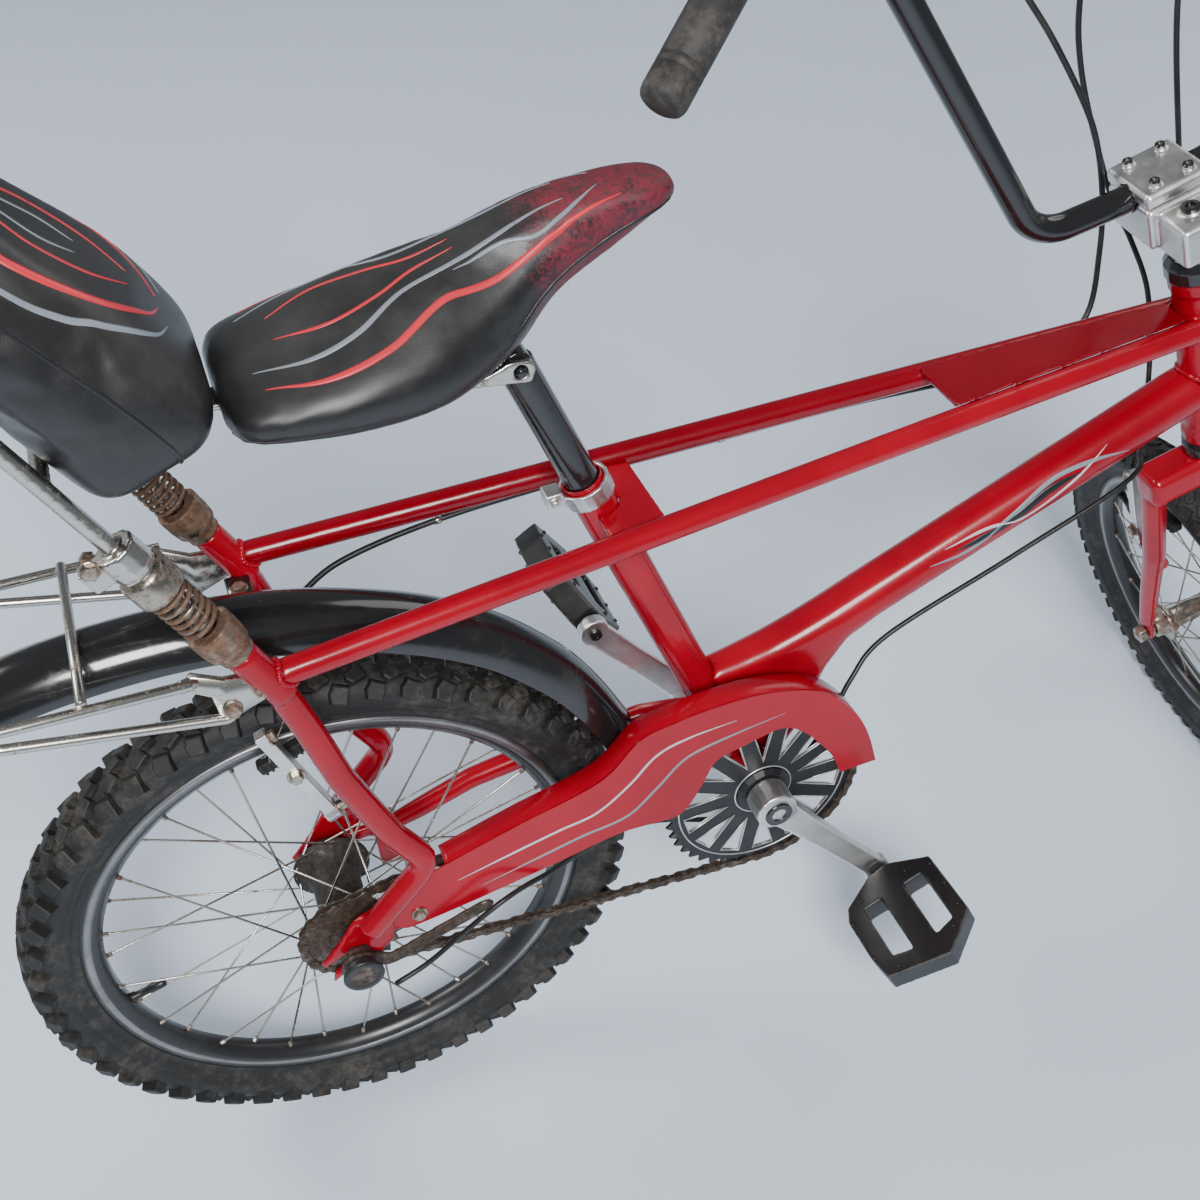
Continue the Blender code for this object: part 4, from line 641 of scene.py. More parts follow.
def alloy(name, colour, roughness=0.34, dirt=0.5, pits=0.35):
    """Cast or forged alloy with dull streaks, pits and brown dirt in the hollows."""
    f = Finish(name, roughness=roughness, metallic=1.0)
    blotch = f.noise(26.0, 6.0, 0.7)
    fine = f.noise(420.0, 3.0, 0.7)
    edge = f.attribute("edge")
    stain = (f.noise(48.0, 5.0, 0.75) * 0.9 - edge * 0.5 + 0.05).step(0.5, 0.78) * dirt
    tone = f.blend(blotch.step(0.3, 0.75), tuple(c * 0.7 for c in colour), colour)
    tone = f.blend(edge.step(0.35, 0.9) * 0.5, tone, tuple(min(1.0, c * 1.25) for c in colour))
    f.colour(f.blend(stain, tone, (0.10, 0.055, 0.03)))
    f.set("Metallic", 1.0 - stain * 0.8)
    f.set("Roughness", blotch * 0.22 + fine * 0.12 + stain * 0.3 + (roughness - 0.14))
    return f.bump(fine * pits + blotch * 0.3, 0.2, 0.0004).material


def rusty(name, rust=0.5, colour=(0.50, 0.46, 0.41), dark=(0.085, 0.038, 0.018), pale=(0.23, 0.12, 0.07)):
    """Plated steel, part bright and part brown."""
    f = Finish(name, roughness=0.35, metallic=1.0)
    patch = f.noise(42.0, 6.0, 0.75) * 0.7 + f.noise(160.0, 4.0, 0.7) * 0.3
    brown = patch.step(0.62 - rust * 0.26, 0.72 - rust * 0.2)
    fine = f.noise(600.0, 3.0, 0.7)
    scab = f.blend(f.noise(220.0, 4.0, 0.7).step(0.35, 0.7), dark, pale)
    f.colour(f.blend(brown * 0.92, colour, scab))
    f.set("Metallic", 1.0 - brown * 0.72)
    f.set("Roughness", brown * 0.38 + fine * 0.12 + 0.2)
    return f.bump(fine * brown + patch * 0.3, 0.3, 0.0005).material


def rubber(name, colour=(0.017, 0.0165, 0.016), dust=0.6, grain=500.0, roughness=0.62):
    """Dull black rubber with pale dust and scuffs."""
    f = Finish(name, roughness=roughness, specular=0.42)
    pale = (f.noise(24.0, 6.0, 0.75) * 0.7 + f.noise(130.0, 4.0, 0.7) * 0.4).step(0.5, 0.76) * dust
    f.colour(f.blend(pale, colour, (0.105, 0.092, 0.078)))
    f.set("Roughness", pale * 0.25 + f.noise(60.0, 3.0) * 0.16 + (roughness - 0.1))
    return f.bump(f.noise(grain, 3.0, 0.7) + f.noise(90.0, 3.0) * 0.8, 0.25, 0.0006).material


def plastic(name, colour=(0.010, 0.010, 0.011), roughness=0.38, grain=900.0):
    """Moulded black plastic with a fine skin and grey scuffs."""
    f = Finish(name, roughness=roughness)
    edge = f.attribute("edge")
    scuff = (f.noise(85.0, 5.0, 0.8) + edge * 0.45).step(0.72, 0.92) * 0.3
    dusty = f.noise(20.0, 4.0, 0.7).step(0.45, 0.8) * 0.14
    f.colour(f.blend(scuff.larger(dusty), colour, (0.16, 0.15, 0.14)))
    f.set("Roughness", scuff * 0.2 + f.noise(45.0, 2.0) * 0.18 + (roughness - 0.09))
    return f.bump(f.noise(grain, 2.0, 0.6), 0.15, 0.0004).material


def gloss_black(name, dirt=0.35):
    """Black enamel with hairline scratches and brown dirt."""
    f = Finish(name, roughness=0.2, coat=0.4)
    lines = f.noise(26.0, 5.0, 0.8, spot=f.stretched((3.0, 30.0, 30.0)))
    scratch = lines.step(0.66, 0.69) * f.noise(12.0).step(0.45, 0.65) * 0.6
    mud = (f.noise(14.0, 6.0, 0.75) * 0.75 + f.noise(110.0, 4.0, 0.7) * 0.3).step(0.54, 0.8) * dirt
    shade = f.blend(mud, (0.012, 0.012, 0.013), (0.085, 0.065, 0.05))
    f.colour(f.blend(scratch, shade, (0.3, 0.3, 0.3)))
    f.set("Roughness", mud * 0.9 + scratch * 0.3 + f.noise(40.0, 3.0) * 0.12 + 0.1)
    return f.bump(f.noise(200.0, 3.0) * 0.4 + mud, 0.1, 0.0005).material


def vinyl(name, nose=False):
    """Black padded vinyl with a fine grain, pale dust and a painted sheen on upward faces; the nose of the
    saddle crackles to dark red.
    """
    f = Finish(name, roughness=0.38, specular=0.55)
    grain = f.cells(1500.0)
    crease = f.noise(34.0, 4.0, 0.6, 0.4)
    soft = f.noise(13.0, 3.0)
    top = f.attribute("top")
    # Random pale dust, plus upward faces (the "top" mark) painted paler in patches as a painted sheen.
    dusty = f.noise(22.0, 5.0, 0.75).step(0.42, 0.8) * 0.22 + top * 0.5 * f.noise(9.0, 4.0, 0.7).step(0.2,
                                                                                                      0.7)
    tone = f.blend(dusty.larger(soft.step(0.35, 0.8) * 0.12), (0.0105, 0.0105, 0.0115), (0.075, 0.068, 0.063))
    height = grain * 0.35 + crease * 0.5 + soft * 0.9
    if nose:
        reach = f.attribute("nose")
        flecks = f.noise(330.0, 6.0, 0.85, 0.4) * 0.65 + f.noise(60.0, 5.0, 0.75) * 0.35
        red = (flecks + reach * 0.16).step(0.55, 0.72) * (reach + f.noise(50.0, 4.0, 0.8) * 0.8).step(0.5,
                                                                                                      0.95)
        tone = f.blend(red * 0.8, tone, (0.235, 0.012, 0.030))
        height = height + red * 0.5
        f.set("Roughness", red * 0.22 + soft * 0.18 + dusty * 0.4 + 0.24)
    else:
        f.set("Roughness", soft * 0.2 + dusty * 0.4 + 0.24)
    f.colour(tone)
    return f.bump(height, 0.22, 0.0009).material


def painted_line(name, colour):
    f = Finish(name, roughness=0.42)
    rub = (f.noise(240.0, 5.0, 0.8) * 0.7 + f.noise(40.0, 3.0) * 0.4).step(0.62, 0.74) * 0.55
    f.colour(f.blend(rub, colour, tuple(c * 0.25 for c in colour)))
    f.set("Roughness", rub * 0.2 + 0.34)
    return f.bump(f.noise(900.0, 2.0), 0.1, 0.0003).material


# Settings

def colour_setting(name, words, default):
    return bpy.props.FloatVectorProperty(name=name, description=words, subtype="COLOR", size=3, min=0.0,
                                         max=1.0, default=default)


def size_setting(name, words, default, low, high):
    kind = bpy.props.IntProperty if isinstance(default, int) else bpy.props.FloatProperty
    return kind(name=name, description=words, default=default, min=low, max=high)


class BicycleColours(bpy.types.PropertyGroup):
    """Colours of the paint, the lines and the stage."""
    red: colour_setting("Red enamel", "Main colour of the frame", (0.42, 0.0006, 0.014))
    line_red: colour_setting("Red line", "Bright line painted on the cushions", (0.66, 0.035, 0.05))
    line_grey: colour_setting("Grey line", "Pale line painted on cushions and tubes", (0.24, 0.27, 0.31))
    line_white: colour_setting("White line", "Thin outline painted on the tubes", (0.62, 0.60, 0.64))
    alloy: colour_setting("Alloy", "Cranks, stem and brake arms", (0.88, 0.865, 0.84))
    floor: colour_setting("Floor", "Plain floor under the bicycle", (0.73, 0.84, 0.97))


class BicycleSizes(bpy.types.PropertyGroup):
    """Sizes of the repeated and soft pieces, in millimetres unless they say otherwise."""
    spoke: size_setting("Spoke", "Diameter of a spoke in mm", 2.0, 1.5, 3.0)
    rear_lugs: size_setting("Rear lugs", "Tread lugs round the rear tyre", 56, 20, 90)
    front_lugs: size_setting("Front lugs", "Tread lugs round the front tyre", 64, 20, 90)
    lug_height: size_setting("Lug height", "Height of a tread lug in mm", 5.5, 1.0, 9.0)
    link: size_setting("Chain pitch", "Distance between chain pins in mm", CHAIN_PITCH, 10.0, 16.0)
    swell: size_setting("Swell", "How far the cushions may swell, in mm", 7.0, 0.0, 20.0)
    line: size_setting("Line", "Width of the painted lines in mm", 4.6, 1.0, 10.0)


SKINS = {}


def colours():
    return bpy.context.scene.bicycle_colours


def sizes():
    return bpy.context.scene.bicycle_sizes


def skin_of(name):
    """Finish by name, made once."""
    if name not in SKINS:
        chosen = colours()
        red, metal = tuple(chosen.red), tuple(chosen.alloy)
        recipes = {
            "red_paint": (enamel, red, 1.0),
            # The same red darkened as painted shade, for the far side of the frame.
            "far_red": (enamel, tuple(c * 0.62 for c in red), 0.6, 0.05),
            "black_paint": (gloss_black, 0.25),
            "muddy_black": (gloss_black, 0.55),
            "alloy": (alloy, metal, 0.36, 0.32),
            "dull_alloy": (alloy, (0.5, 0.49, 0.47), 0.42, 0.75),
            "plated": (rusty, 0.28, (0.56, 0.53, 0.48)),
            "brown_steel": (rusty, 0.62, (0.42, 0.37, 0.31)),
            "rusted": (rusty, 0.95, (0.34, 0.26, 0.2)),
            "spoke_steel": (rusty, 0.4, (0.52, 0.48, 0.42)),
            "tyre": (rubber, (0.014, 0.0135, 0.013), 0.7),
            "casing": (rubber, (0.012, 0.012, 0.013), 0.2, 300.0, 0.38),
            "grip": (rubber, (0.026, 0.024, 0.023), 0.9, 700.0, 0.6),
            "pad": (rubber, (0.015, 0.015, 0.015), 0.4, 400.0, 0.7),
            "plastic": (plastic,),
            "glossy_plastic": (plastic, (0.013, 0.013, 0.014), 0.3),
            "ring_black": (plastic, (0.006, 0.006, 0.007), 0.42),
            "black_rim": (plastic, (0.02, 0.02, 0.022), 0.3),
            "braking_band": (alloy, (0.35, 0.34, 0.34), 0.38, 0.5),
            "greasy": (rusty, 1.0, (0.2, 0.16, 0.13), (0.012, 0.008, 0.006), (0.085, 0.048, 0.028)),
            "black_grease": (rusty, 1.2, (0.1, 0.09, 0.08), (0.006, 0.005, 0.005),
                                          (0.05, 0.034, 0.024)),
            "vinyl": (vinyl,),
            "saddle_vinyl": (vinyl, True),
            "line_red": (painted_line, tuple(chosen.line_red)),
            "line_grey": (painted_line, tuple(chosen.line_grey)),
            "line_white": (painted_line, tuple(chosen.line_white)),
            "line_black": (painted_line, (0.012, 0.012, 0.014)),
        }
        maker, *values = recipes[name]
        SKINS[name] = maker(name, *values)
    return SKINS[name]


def mark_edges(mesh):
    """Stores how convex each vertex is, from 0 in a hollow to 1 on an edge."""
    count = len(mesh.vertices)
    spots = np.empty(count * 3)
    mesh.vertices.foreach_get("co", spots)
    spots = spots.reshape(-1, 3)
    normals = np.empty(count * 3)
    mesh.vertex_normals.foreach_get("vector", normals)
    normals = normals.reshape(-1, 3)
    edges = np.empty(len(mesh.edges) * 2, dtype=int)
    mesh.edges.foreach_get("vertices", edges)
    edges = edges.reshape(-1, 2)
    total = np.zeros((count, 3))
    number = np.zeros(count)
    for a, b in ((0, 1), (1, 0)):
        np.add.at(total, edges[:, a], spots[edges[:, b]])
        np.add.at(number, edges[:, a], 1)
    number[number == 0] = 1
    bend = np.einsum("ij,ij->i", spots - total / number[:, None], normals)
    for _ in range(4):
        mean = np.zeros(count)
        for a, b in ((0, 1), (1, 0)):
            np.add.at(mean, edges[:, a], bend[edges[:, b]])
        bend = (bend + mean / number) / 2
    scale = max(1e-7, float(np.percentile(np.abs(bend), 96)))
    mark = mesh.attributes.new("edge", "FLOAT", "POINT")
    mark.data.foreach_set("value", np.clip(bend / scale, 0, 1))


def apply_all(piece):
    """Turns a piece's modifiers into its mesh."""
    bpy.context.view_layer.update()
    graph = bpy.context.evaluated_depsgraph_get()
    result = bpy.data.meshes.new_from_object(piece.evaluated_get(graph))
    old = piece.data
    piece.modifiers.clear()
    piece.data = result
    bpy.data.meshes.remove(old)


def skin_over(piece, size):
    """Lays an even voxel skin over a piece."""
    remesh = piece.modifiers.new("Skin", "REMESH")
    remesh.mode = "VOXEL"
    remesh.voxel_size = size


def soften(node, material, voxel, passes):
    """Rounded, finely meshed copy of a rigid CAD node, which it then stands for."""
    source = frame["nodes"][node]
    bm = bmesh.new()
    bm.from_mesh(source.data)
    bmesh.ops.remove_doubles(bm, verts=bm.verts, dist=1e-6)
    mesh = bpy.data.meshes.new(node + "_smooth")
    bm.to_mesh(mesh)
    bm.free()
    piece = new_object(mesh.name, mesh)
    skin_over(piece, voxel * 1.0 * MM)
    ease = piece.modifiers.new("Ease", "SMOOTH")
    ease.factor = 0.5
    ease.iterations = passes
    apply_all(piece)
    result = piece.data
    result.name = piece.name
    result.polygons.foreach_set("use_smooth", [True] * len(result.polygons))
    mark_edges(result)
    result.materials.clear()
    result.materials.append(material)
    return place(piece, BODY_OF[node], (node,))


BODY_OF = {node: body for body, nodes in frame["record"]["behaviour"]["bodies"].items() for node in nodes}


def dress(name, matrix, shape, finish, *rest, **options):
    """Piece from a shape in millimetres of a drawing frame, with a named finish."""
    return make_piece(name, *placed(matrix, shape), skin_of(finish), *rest, **options)


# Wheels

def tyre_shape(outer, half, rim, lug, centre):
    """Carcass of a tyre with its bead, sidewall lines and low crown, leaving room for the lugs."""
    crown = outer - lug
    wide = half - 1.5
    outline = [(rim - 9, 9.5), (rim - 2, 11.8), (rim + 2.5, 12.4), (rim + 4, 12.2), (rim + 5.5, 13.4),
               (rim + 11, wide * 0.83), (rim + 12, wide * 0.83), (rim + 13, wide * 0.9),
               ((rim + crown) / 2 + 2, wide), (crown - 11, wide * 0.93), (crown - 4.5, wide * 0.72),
               (crown - 1.2, wide * 0.4), (crown, 0)]
    profile = [(r, -y) for r, y in outline] + [(r, y) for r, y in outline[-2::-1]]
    return lathe(profile, 120, across(centre), ring=True)


def lug_frames(matrix, centre, radius, across_y, lean, count, phase, twist=0.0):
    """Matrices on a tyre: X round the wheel, Y across, Z outward, leaned over the shoulder."""
    frames = []
    for k in range(count):
        turn = 2 * math.pi * (k + phase) / count
        local = (Matrix.Translation(Vector(centre)) @ Matrix.Rotation(turn, 4, "Y")
                 @ Matrix.Translation((0, across_y, radius)) @ Matrix.Rotation(lean, 4, "X")
                 @ Matrix.Rotation(twist, 4, "Z"))
        local.translation *= MM
        frames.append(matrix @ local)
    return frames


def lug_shape(long, wide, tall, notch=0.0):
    """Moulded rubber lug, narrower at its top, sunk a little into the tyre."""
    rings = []
    for z, f in ((-3.0, 1.12), (tall - 0.7, 0.98), (tall, 0.82)):
        x, y = long / 2 * f, wide / 2 * f
        rings.append([(x, -y, z), (x, y, z), (-x * (1 - notch), y, z), (-x, 0, z), (-x * (1 - notch), -y, z)])
    return skin(rings)


def rim_shape(outer, centre):
    """Rim section with a hooked bead, a braking wall and a shallow well."""
    outline = [(outer + 1.5, 12), (outer + 1.5, 10.4), (outer - 5, 9.8), (outer - 9, 6), (outer - 9.5, -6),
               (outer - 5, -9.8), (outer + 1.5, -10.4), (outer + 1.5, -12), (outer - 11, -12),
               (outer - 13, -11), (outer - 19, -6), (outer - 19.5, 0), (outer - 19, 6), (outer - 13, 11),
               (outer - 11, 12)]
    return lathe(outline, 144, across(centre), ring=True)


def lacing(count, flange, half, rim, lean, phase):
    """Spoke runs in millimetres about the wheel's middle: hub end with its elbow, then the rim end."""
    runs = []
    for k in range(count):
        side = 1 if k % 2 else -1
        cross = 1 if (k // 2) % 2 else -1
        end = 2 * math.pi * (k + 0.5) / count + phase
        start = end + cross * lean
        hub = Vector((flange * math.cos(start), side * (half + cross * 1.6), flange * math.sin(start)))
        tip = Vector((rim * math.cos(end), side * 2.2, rim * math.sin(end)))
        elbow = hub + Vector((0, -side * cross * 3.4, 0))
        runs.append([elbow, hub, tip])
    return runs


# Rows of lugs: name, length as a share of the pitch, width, added height, notch, depth below the crown, place
# across as a share of the half width, lean in degrees, twist and phase.
TREADS = {
    "rear": (("shoulder", 0.52, 15, 1.2, 0.35, 8.5, 0.82, 56, 0.25, 0.0),
             ("middle", 0.55, 10.5, 0, 0.3, 1.8, 0.42, 20, -0.45, 0.5)),
    "front": (("shoulder", 0.62, 11, 0, 0.1, 7.5, 0.8, 52, 0.3, 0.0),
              ("middle", 0.7, 8.5, 0, 0.3, 1.4, 0.38, 18, -0.6, 0.5)),
}
CENTRE_TREAD = ("centre", 0.6, 8, 0, 0.2, 0, 0, 0, 0.35, 0.25)


def build_wheel(tag, matrix, centre, tyre_radius, tyre_half, rim_radius, lugs, spoke_count, flange, half,
                lean, hub_profile, phase):
    """Tyre with lugs, rim, spokes, nipples, valve and hub of one wheel."""
    body = tag + "_wheel"
    tall = sizes().lug_height if tag == "rear" else sizes().lug_height * 0.45
    dress(tag + "_tyre_carcass", matrix, tyre_shape(tyre_radius, tyre_half, rim_radius, tall, centre),
          "tyre", body, (tag + "_tyre",))
    pitch = 2 * math.pi * tyre_radius / lugs
    crown = tyre_radius - tall
    rows = [(side, *row) for side in (1, -1) for row in TREADS[tag]]
    if tag == "rear":
        rows.append((1, *CENTRE_TREAD))
    for i, (side, word, long, wide, extra, notch, sink, out, lean_in, twist, start) in enumerate(rows):
        shape = lug_shape(pitch * long, wide, tall + extra, notch)
        phase_in = start if side > 0 else 0.5 - start
        places = lug_frames(matrix, centre, crown - sink, side * tyre_half * out, -side
                            * math.radians(lean_in), lugs, phase_in, side * twist)
        repeat_piece(f"{tag}_tread_{word}_{i}", shape, places, skin_of("tyre"), body, 0.07)
    dress(tag + "_rim_ring", matrix, rim_shape(rim_radius, centre), "black_rim", body, (tag + "_rim",))
    low, high, under, face = rim_radius - 10, rim_radius - 2.5, 11.8, 12.05
    bands = join([lathe([(low, side * under), (high, side * under), (high, side * face),
                         (low, side * face)], 144, across(centre), ring=True) for side in (1, -1)])
    dress(tag + "_braking_bands", matrix, bands, "braking_band", body)
    middle = Vector(centre)
    runs = lacing(spoke_count, flange, half, rim_radius - 15, lean, phase)
    world = [points_in(matrix, [p + middle for p in run]) for run in runs]
    thread_piece(tag + "_spokes", world, sizes().spoke / 2 * MM, skin_of("spoke_steel"), body)
    nipples = []
    for run in world:
        along = (run[1] - run[2]).normalized()
        nipples.append(aim(run[2] - along * 0.004, run[2] + along * 0.01))
    repeat_piece(tag + "_nipples", lathe([(0.01, 0), (2.6, 0), (2.6, 4), (2.0, 5), (1.9, 13), (0.01, 13.4)],
                                         8), nipples, skin_of("brown_steel"), body, smooth=True)
    hub = lathe(hub_profile, 48, across(centre), ring=True)
    finish = "black_grease" if tag == "rear" else "brown_steel"
    dress(tag + "_hub_shell", matrix, hub, finish, body, (tag + "_hub",))
    turn = Matrix.Translation(middle) @ Matrix.Rotation(math.radians(258 if tag == "rear" else 60), 4, "Y")
    stem = lathe([(0.01, 0), (4.4, 0), (4.4, 6), (3.2, 8), (3.2, 18), (4.0, 19), (4.0, 31), (3.0, 33),
                  (0.01, 33)], 16, turn @ Matrix.Translation((0, 0, rim_radius - 17))
                 @ Matrix.Rotation(math.pi, 4, "X"))
    dress(tag + "_valve", matrix, stem, "casing", body)


# Chain

def chain_path():
    """Pitch line of the chain in (x, z), closed, as fine points."""
    small = CHAIN_PITCH / (2 * math.sin(math.pi / SPROCKET_TEETH))
    large = CHAIN_PITCH / (2 * math.sin(math.pi / RING_TEETH))
    span = math.hypot(BRACKET_X, BRACKET_RISE)
    rise = math.atan2(BRACKET_RISE, BRACKET_X)
    spread = math.asin((large - small) / span)
    top = rise + spread + math.pi / 2
    bottom = rise - spread - math.pi / 2
    points = []
    for i in range(61):
        turn = top + (bottom + 2 * math.pi - top) * i / 60
        points.append(Vector((small * math.cos(turn), 0, small * math.sin(turn))))
    for i in range(91):
        turn = bottom + (top - bottom) * i / 90
        points.append(Vector((BRACKET_X + large * math.cos(turn), 0, BRACKET_RISE + large * math.sin(turn))))
    return points


def link_frames(pitch):
    """Alternate outer and inner link places round the chain."""
    path = chain_path()
    path.append(path[0])
    lengths = [0.0]
    for a, b in zip(path, path[1:]):
        lengths.append(lengths[-1] + (b - a).length)
    count = 2 * round(lengths[-1] / pitch / 2)

    def at(distance):
        distance %= lengths[-1]
        k = max(0, next(i for i, v in enumerate(lengths) if v >= distance) - 1)
        return path[k].lerp(path[k + 1], (distance - lengths[k]) / (lengths[k + 1] - lengths[k]))

    frames = [[], []]
    for i in range(count):
        a, b = at(lengths[-1] * i / count), at(lengths[-1] * (i + 1) / count)
        x = (b - a).normalized()
        y = Vector((0, 1, 0))
        z = x.cross(y)
        middle = (a + b) / 2 + Vector((0, CHAIN_LINE, 0))
        frames[i % 2].append(BIKE @ from_axes(x, y, z, middle * MM))
    return frames


def link_shape(level, thick, reach):
    """Two waisted plates and a pin through each end of a link."""
    outline = []
    for k in range(9):
        turn = -math.pi / 2 + math.pi * k / 8
        outline.append((6.35 + 4.1 * math.cos(turn), 4.1 * math.sin(turn)))
    outline.append((0, 3.0))
    for k in range(9):
        turn = math.pi / 2 + math.pi * k / 8
        outline.append((-6.35 + 4.1 * math.cos(turn), 4.1 * math.sin(turn)))
    outline.append((0, -3.0))
    shapes = [slab(outline, level, level + thick), slab(outline, -level - thick, -level)]
    for x in (-6.35, 6.35):
        shapes.append(lathe([(0.01, -reach), (1.8, -reach), (1.8, reach), (0.01, reach)], 8,
                            across((x, 0, 0))))
    return join(shapes)


# Cushions

def oval(middle, wide, tall, half_width, half_height, power, count):
    ring = []
    for k in range(count):
        t = 2 * math.pi * k / count
        c = math.copysign(abs(math.cos(t)) ** (2 / power), math.cos(t))
        s = math.copysign(abs(math.sin(t)) ** (2 / power), math.sin(t))
        ring.append(Vector(middle) + wide * half_width * c + tall * half_height * s)
    return ring


# Saddle sections: x, half width, lowest and highest point.
SADDLE = ((15, 46, 488, 512), (25, 67, 479, 521), (60, 77, 473, 527), (102, 80, 467, 534),
          (150, 74, 465, 544), (195, 57, 482, 556), (235, 43, 514, 568), (280, 34, 536, 577),
          (312, 27, 548, 577), (328, 15, 553, 571))
# Backrest sections: height, front inset, level of the rear, rear inset, half width.
BACKREST = ((-18, 24, 486, 14, 62), (-14, 7, 477, 4, 80), (6, -6, 484, 0, 88), (60, -8, 522, 0, 90),
            (150, 3, 605, 0, 89), (240, 6, 687, 0, 82), (285, 7, 728, 4, 70), (300, 16, 738, 11, 50))


BACK_RISE = Vector((-0.574, 0, 0.819))
BACK_FACING = Vector((0.819, 0, 0.574))
BACK_FOOT = Vector((13, 0, 524))


def saddle_sections():
    return [(Vector((x, 0, (low + high) / 2)), Vector((0, 1, 0)), Vector((0, 0, 1)), half, (high - low) / 2)
            for x, half, low, high in SADDLE]


def backrest_sections():
    clear = 6.6 / math.cos(SPRING_LEAN)
    sections = []
    for height, front_in, level, rear_in, half in BACKREST:
        front = BACK_FOOT + BACK_RISE * height - BACK_FACING * front_in
        rear = spring_point(level, 0) + Vector((clear, 0, 0))
        depth = rear - front
        rear -= depth.normalized() * rear_in
        depth = rear - front
        sections.append(((front + rear) / 2, Vector((0, 1, 0)), depth.normalized(), half, depth.length / 2))
    return sections


def finer(sections, steps=4):
    """More sections between the given ones, on a smooth curve."""
    result = []
    for i in range(len(sections) - 1):
        a = sections[max(0, i - 1)]
        b, c = sections[i], sections[i + 1]
        d = sections[min(len(sections) - 1, i + 2)]
        for k in range(steps):
            t = k / steps
            weights = ((-t + 2 * t ** 2 - t ** 3) / 2, (2 - 5 * t ** 2 + 3 * t ** 3) / 2,
                       (t + 4 * t ** 2 - 3 * t ** 3) / 2, (-t ** 2 + t ** 3) / 2)
            mixed = []
            for values in zip(a, b, c, d):
                total = values[0] * weights[0]
                for value, weight in zip(values[1:], weights[1:]):
                    total = total + value * weight
                mixed.append(total)
            result.append(tuple(mixed))
    result.append(sections[-1])
    return result


def cushion(name, sections, power, shrink, material, hides, cap):
    """Closed cushion from sections, swollen by cloth pressure and finely meshed."""
    rings = [oval(m, w, t, hw - shrink, hh - shrink, power, 40) for m, w, t, hw, hh in finer(sections)]
    points, faces = placed(BIKE, skin(rings))
    piece = make_piece(name, points, faces, material)
    skin_over(piece, 0.005)
    apply_all(piece)
    start = np.array([v.co[:] for v in piece.data.vertices])
    cloth = piece.modifiers.new("Swell", "CLOTH")
    cloth.settings.quality = 6
    cloth.settings.use_pressure = True
    cloth.settings.uniform_pressure_force = 4.0
    cloth.settings.effector_weights.gravity = 0.0
    cloth.settings.tension_stiffness = 22
    cloth.settings.compression_stiffness = 22
    cloth.settings.bending_stiffness = 2.0
    cloth.point_cache.frame_start = 1
    cloth.point_cache.frame_end = 20
    for step in range(1, 21):
        bpy.context.scene.frame_set(step)
    graph = bpy.context.evaluated_depsgraph_get()
    moved = np.array([v.co[:] for v in piece.evaluated_get(graph).data.vertices])
    piece.modifiers.remove(cloth)
    bpy.context.scene.frame_set(1)
    step = moved - start
    length = np.linalg.norm(step, axis=1, keepdims=True)
    length[length == 0] = 1
    step *= np.minimum(1, cap * MM / length)
    piece.data.vertices.foreach_set("co", (start + step).ravel())
    ease = piece.modifiers.new("Ease", "SMOOTH")
    ease.iterations = 3
    rounder = piece.modifiers.new("Round", "SUBSURF")
    rounder.levels = rounder.render_levels = 1
    apply_all(piece)
    piece.data.polygons.foreach_set("use_smooth", [True] * len(piece.data.polygons))
    # Mark of the upward faces, which the vinyl paints paler as a painted sheen.
    top_sheen = piece.data.attributes.new("top", "FLOAT", "POINT")
    facing = (BIKE.to_3x3() @ Vector((0.35, 0.0, 0.94))).normalized()
    top_sheen.data.foreach_set("value", [max(0.0, v.normal.dot(facing)) ** 2 for v in piece.data.vertices])
    place(piece, "seat", hides)
    return piece


def line_on(name, target, matrix, spots, width, material, body, lift=0.35):
    """Painted line that hugs a piece: spots are (inside point, outward direction) pairs in millimetres."""
    tree = tree_of(target)
    hits = []
    turned = matrix.to_3x3()
    for inside, outward in spots:
        start = matrix @ (Vector(inside) * MM)
        hit, normal, _, _ = tree.ray_cast(start + (turned @ Vector(outward)).normalized() * 0.3,
                                          -(turned @ Vector(outward)).normalized())
        if hit is not None:
            hits.append((hit, normal))
    if len(hits) < 3:
        return None
    points, faces = [], []
    count = len(hits)
    for i, (hit, normal) in enumerate(hits):
        along = (hits[min(i + 1, count - 1)][0] - hits[max(i - 1, 0)][0]).normalized()
        side = normal.cross(along).normalized()
        t = i / (count - 1)
        w = width * (min(1.0, 5 * t, 5 * (1 - t)) * 0.85 + 0.15) / 2
        for k in (-1.0, -0.4, 0.4, 1.0):
            spot = hit + side * (k * w * MM)
            near, face_normal, _, _ = tree.find_nearest(spot)
            rise = lift if abs(k) < 1 else 0.05
            points.append(near + face_normal * (rise * MM))
    for i in range(count - 1):
        for k in range(3):
            a = i * 4 + k
            faces.append((a, a + 1, a + 5, a + 4))
    under = len(points)
    for i in range(count):
        for k in range(4):
            points.append(points[i * 4 + k] - hits[i][1] * (0.5 * MM))
    for i in range(count - 1):
        for k in range(3):
            a = under + i * 4 + k
            faces.append((a, a + 4, a + 5, a + 1))
        a = i * 4
        faces.append((a, a + 4, under + a + 4, under + a))
        faces.append((a + 3, under + a + 3, under + a + 7, a + 7))
    last = (count - 1) * 4
    for k in range(3):
        faces.append((k, under + k, under + k + 1, k + 1))
        faces.append((last + k, last + k + 1, under + last + k + 1, under + last + k))
    return make_piece(name, points, faces, material, body)


def flow(corners, step=3.0):
    """Smooth flat stroke through (u, v) corners."""
    return [(p.x, p.y) for p in smooth_path([Vector((u, v, 0)) for u, v in corners], step)]


# Operators

def both(node, *finish):
    """The same finish for the left and the right one of a pair."""
    return [(f"{node}_{word}", *finish) for _, word in SIDES]


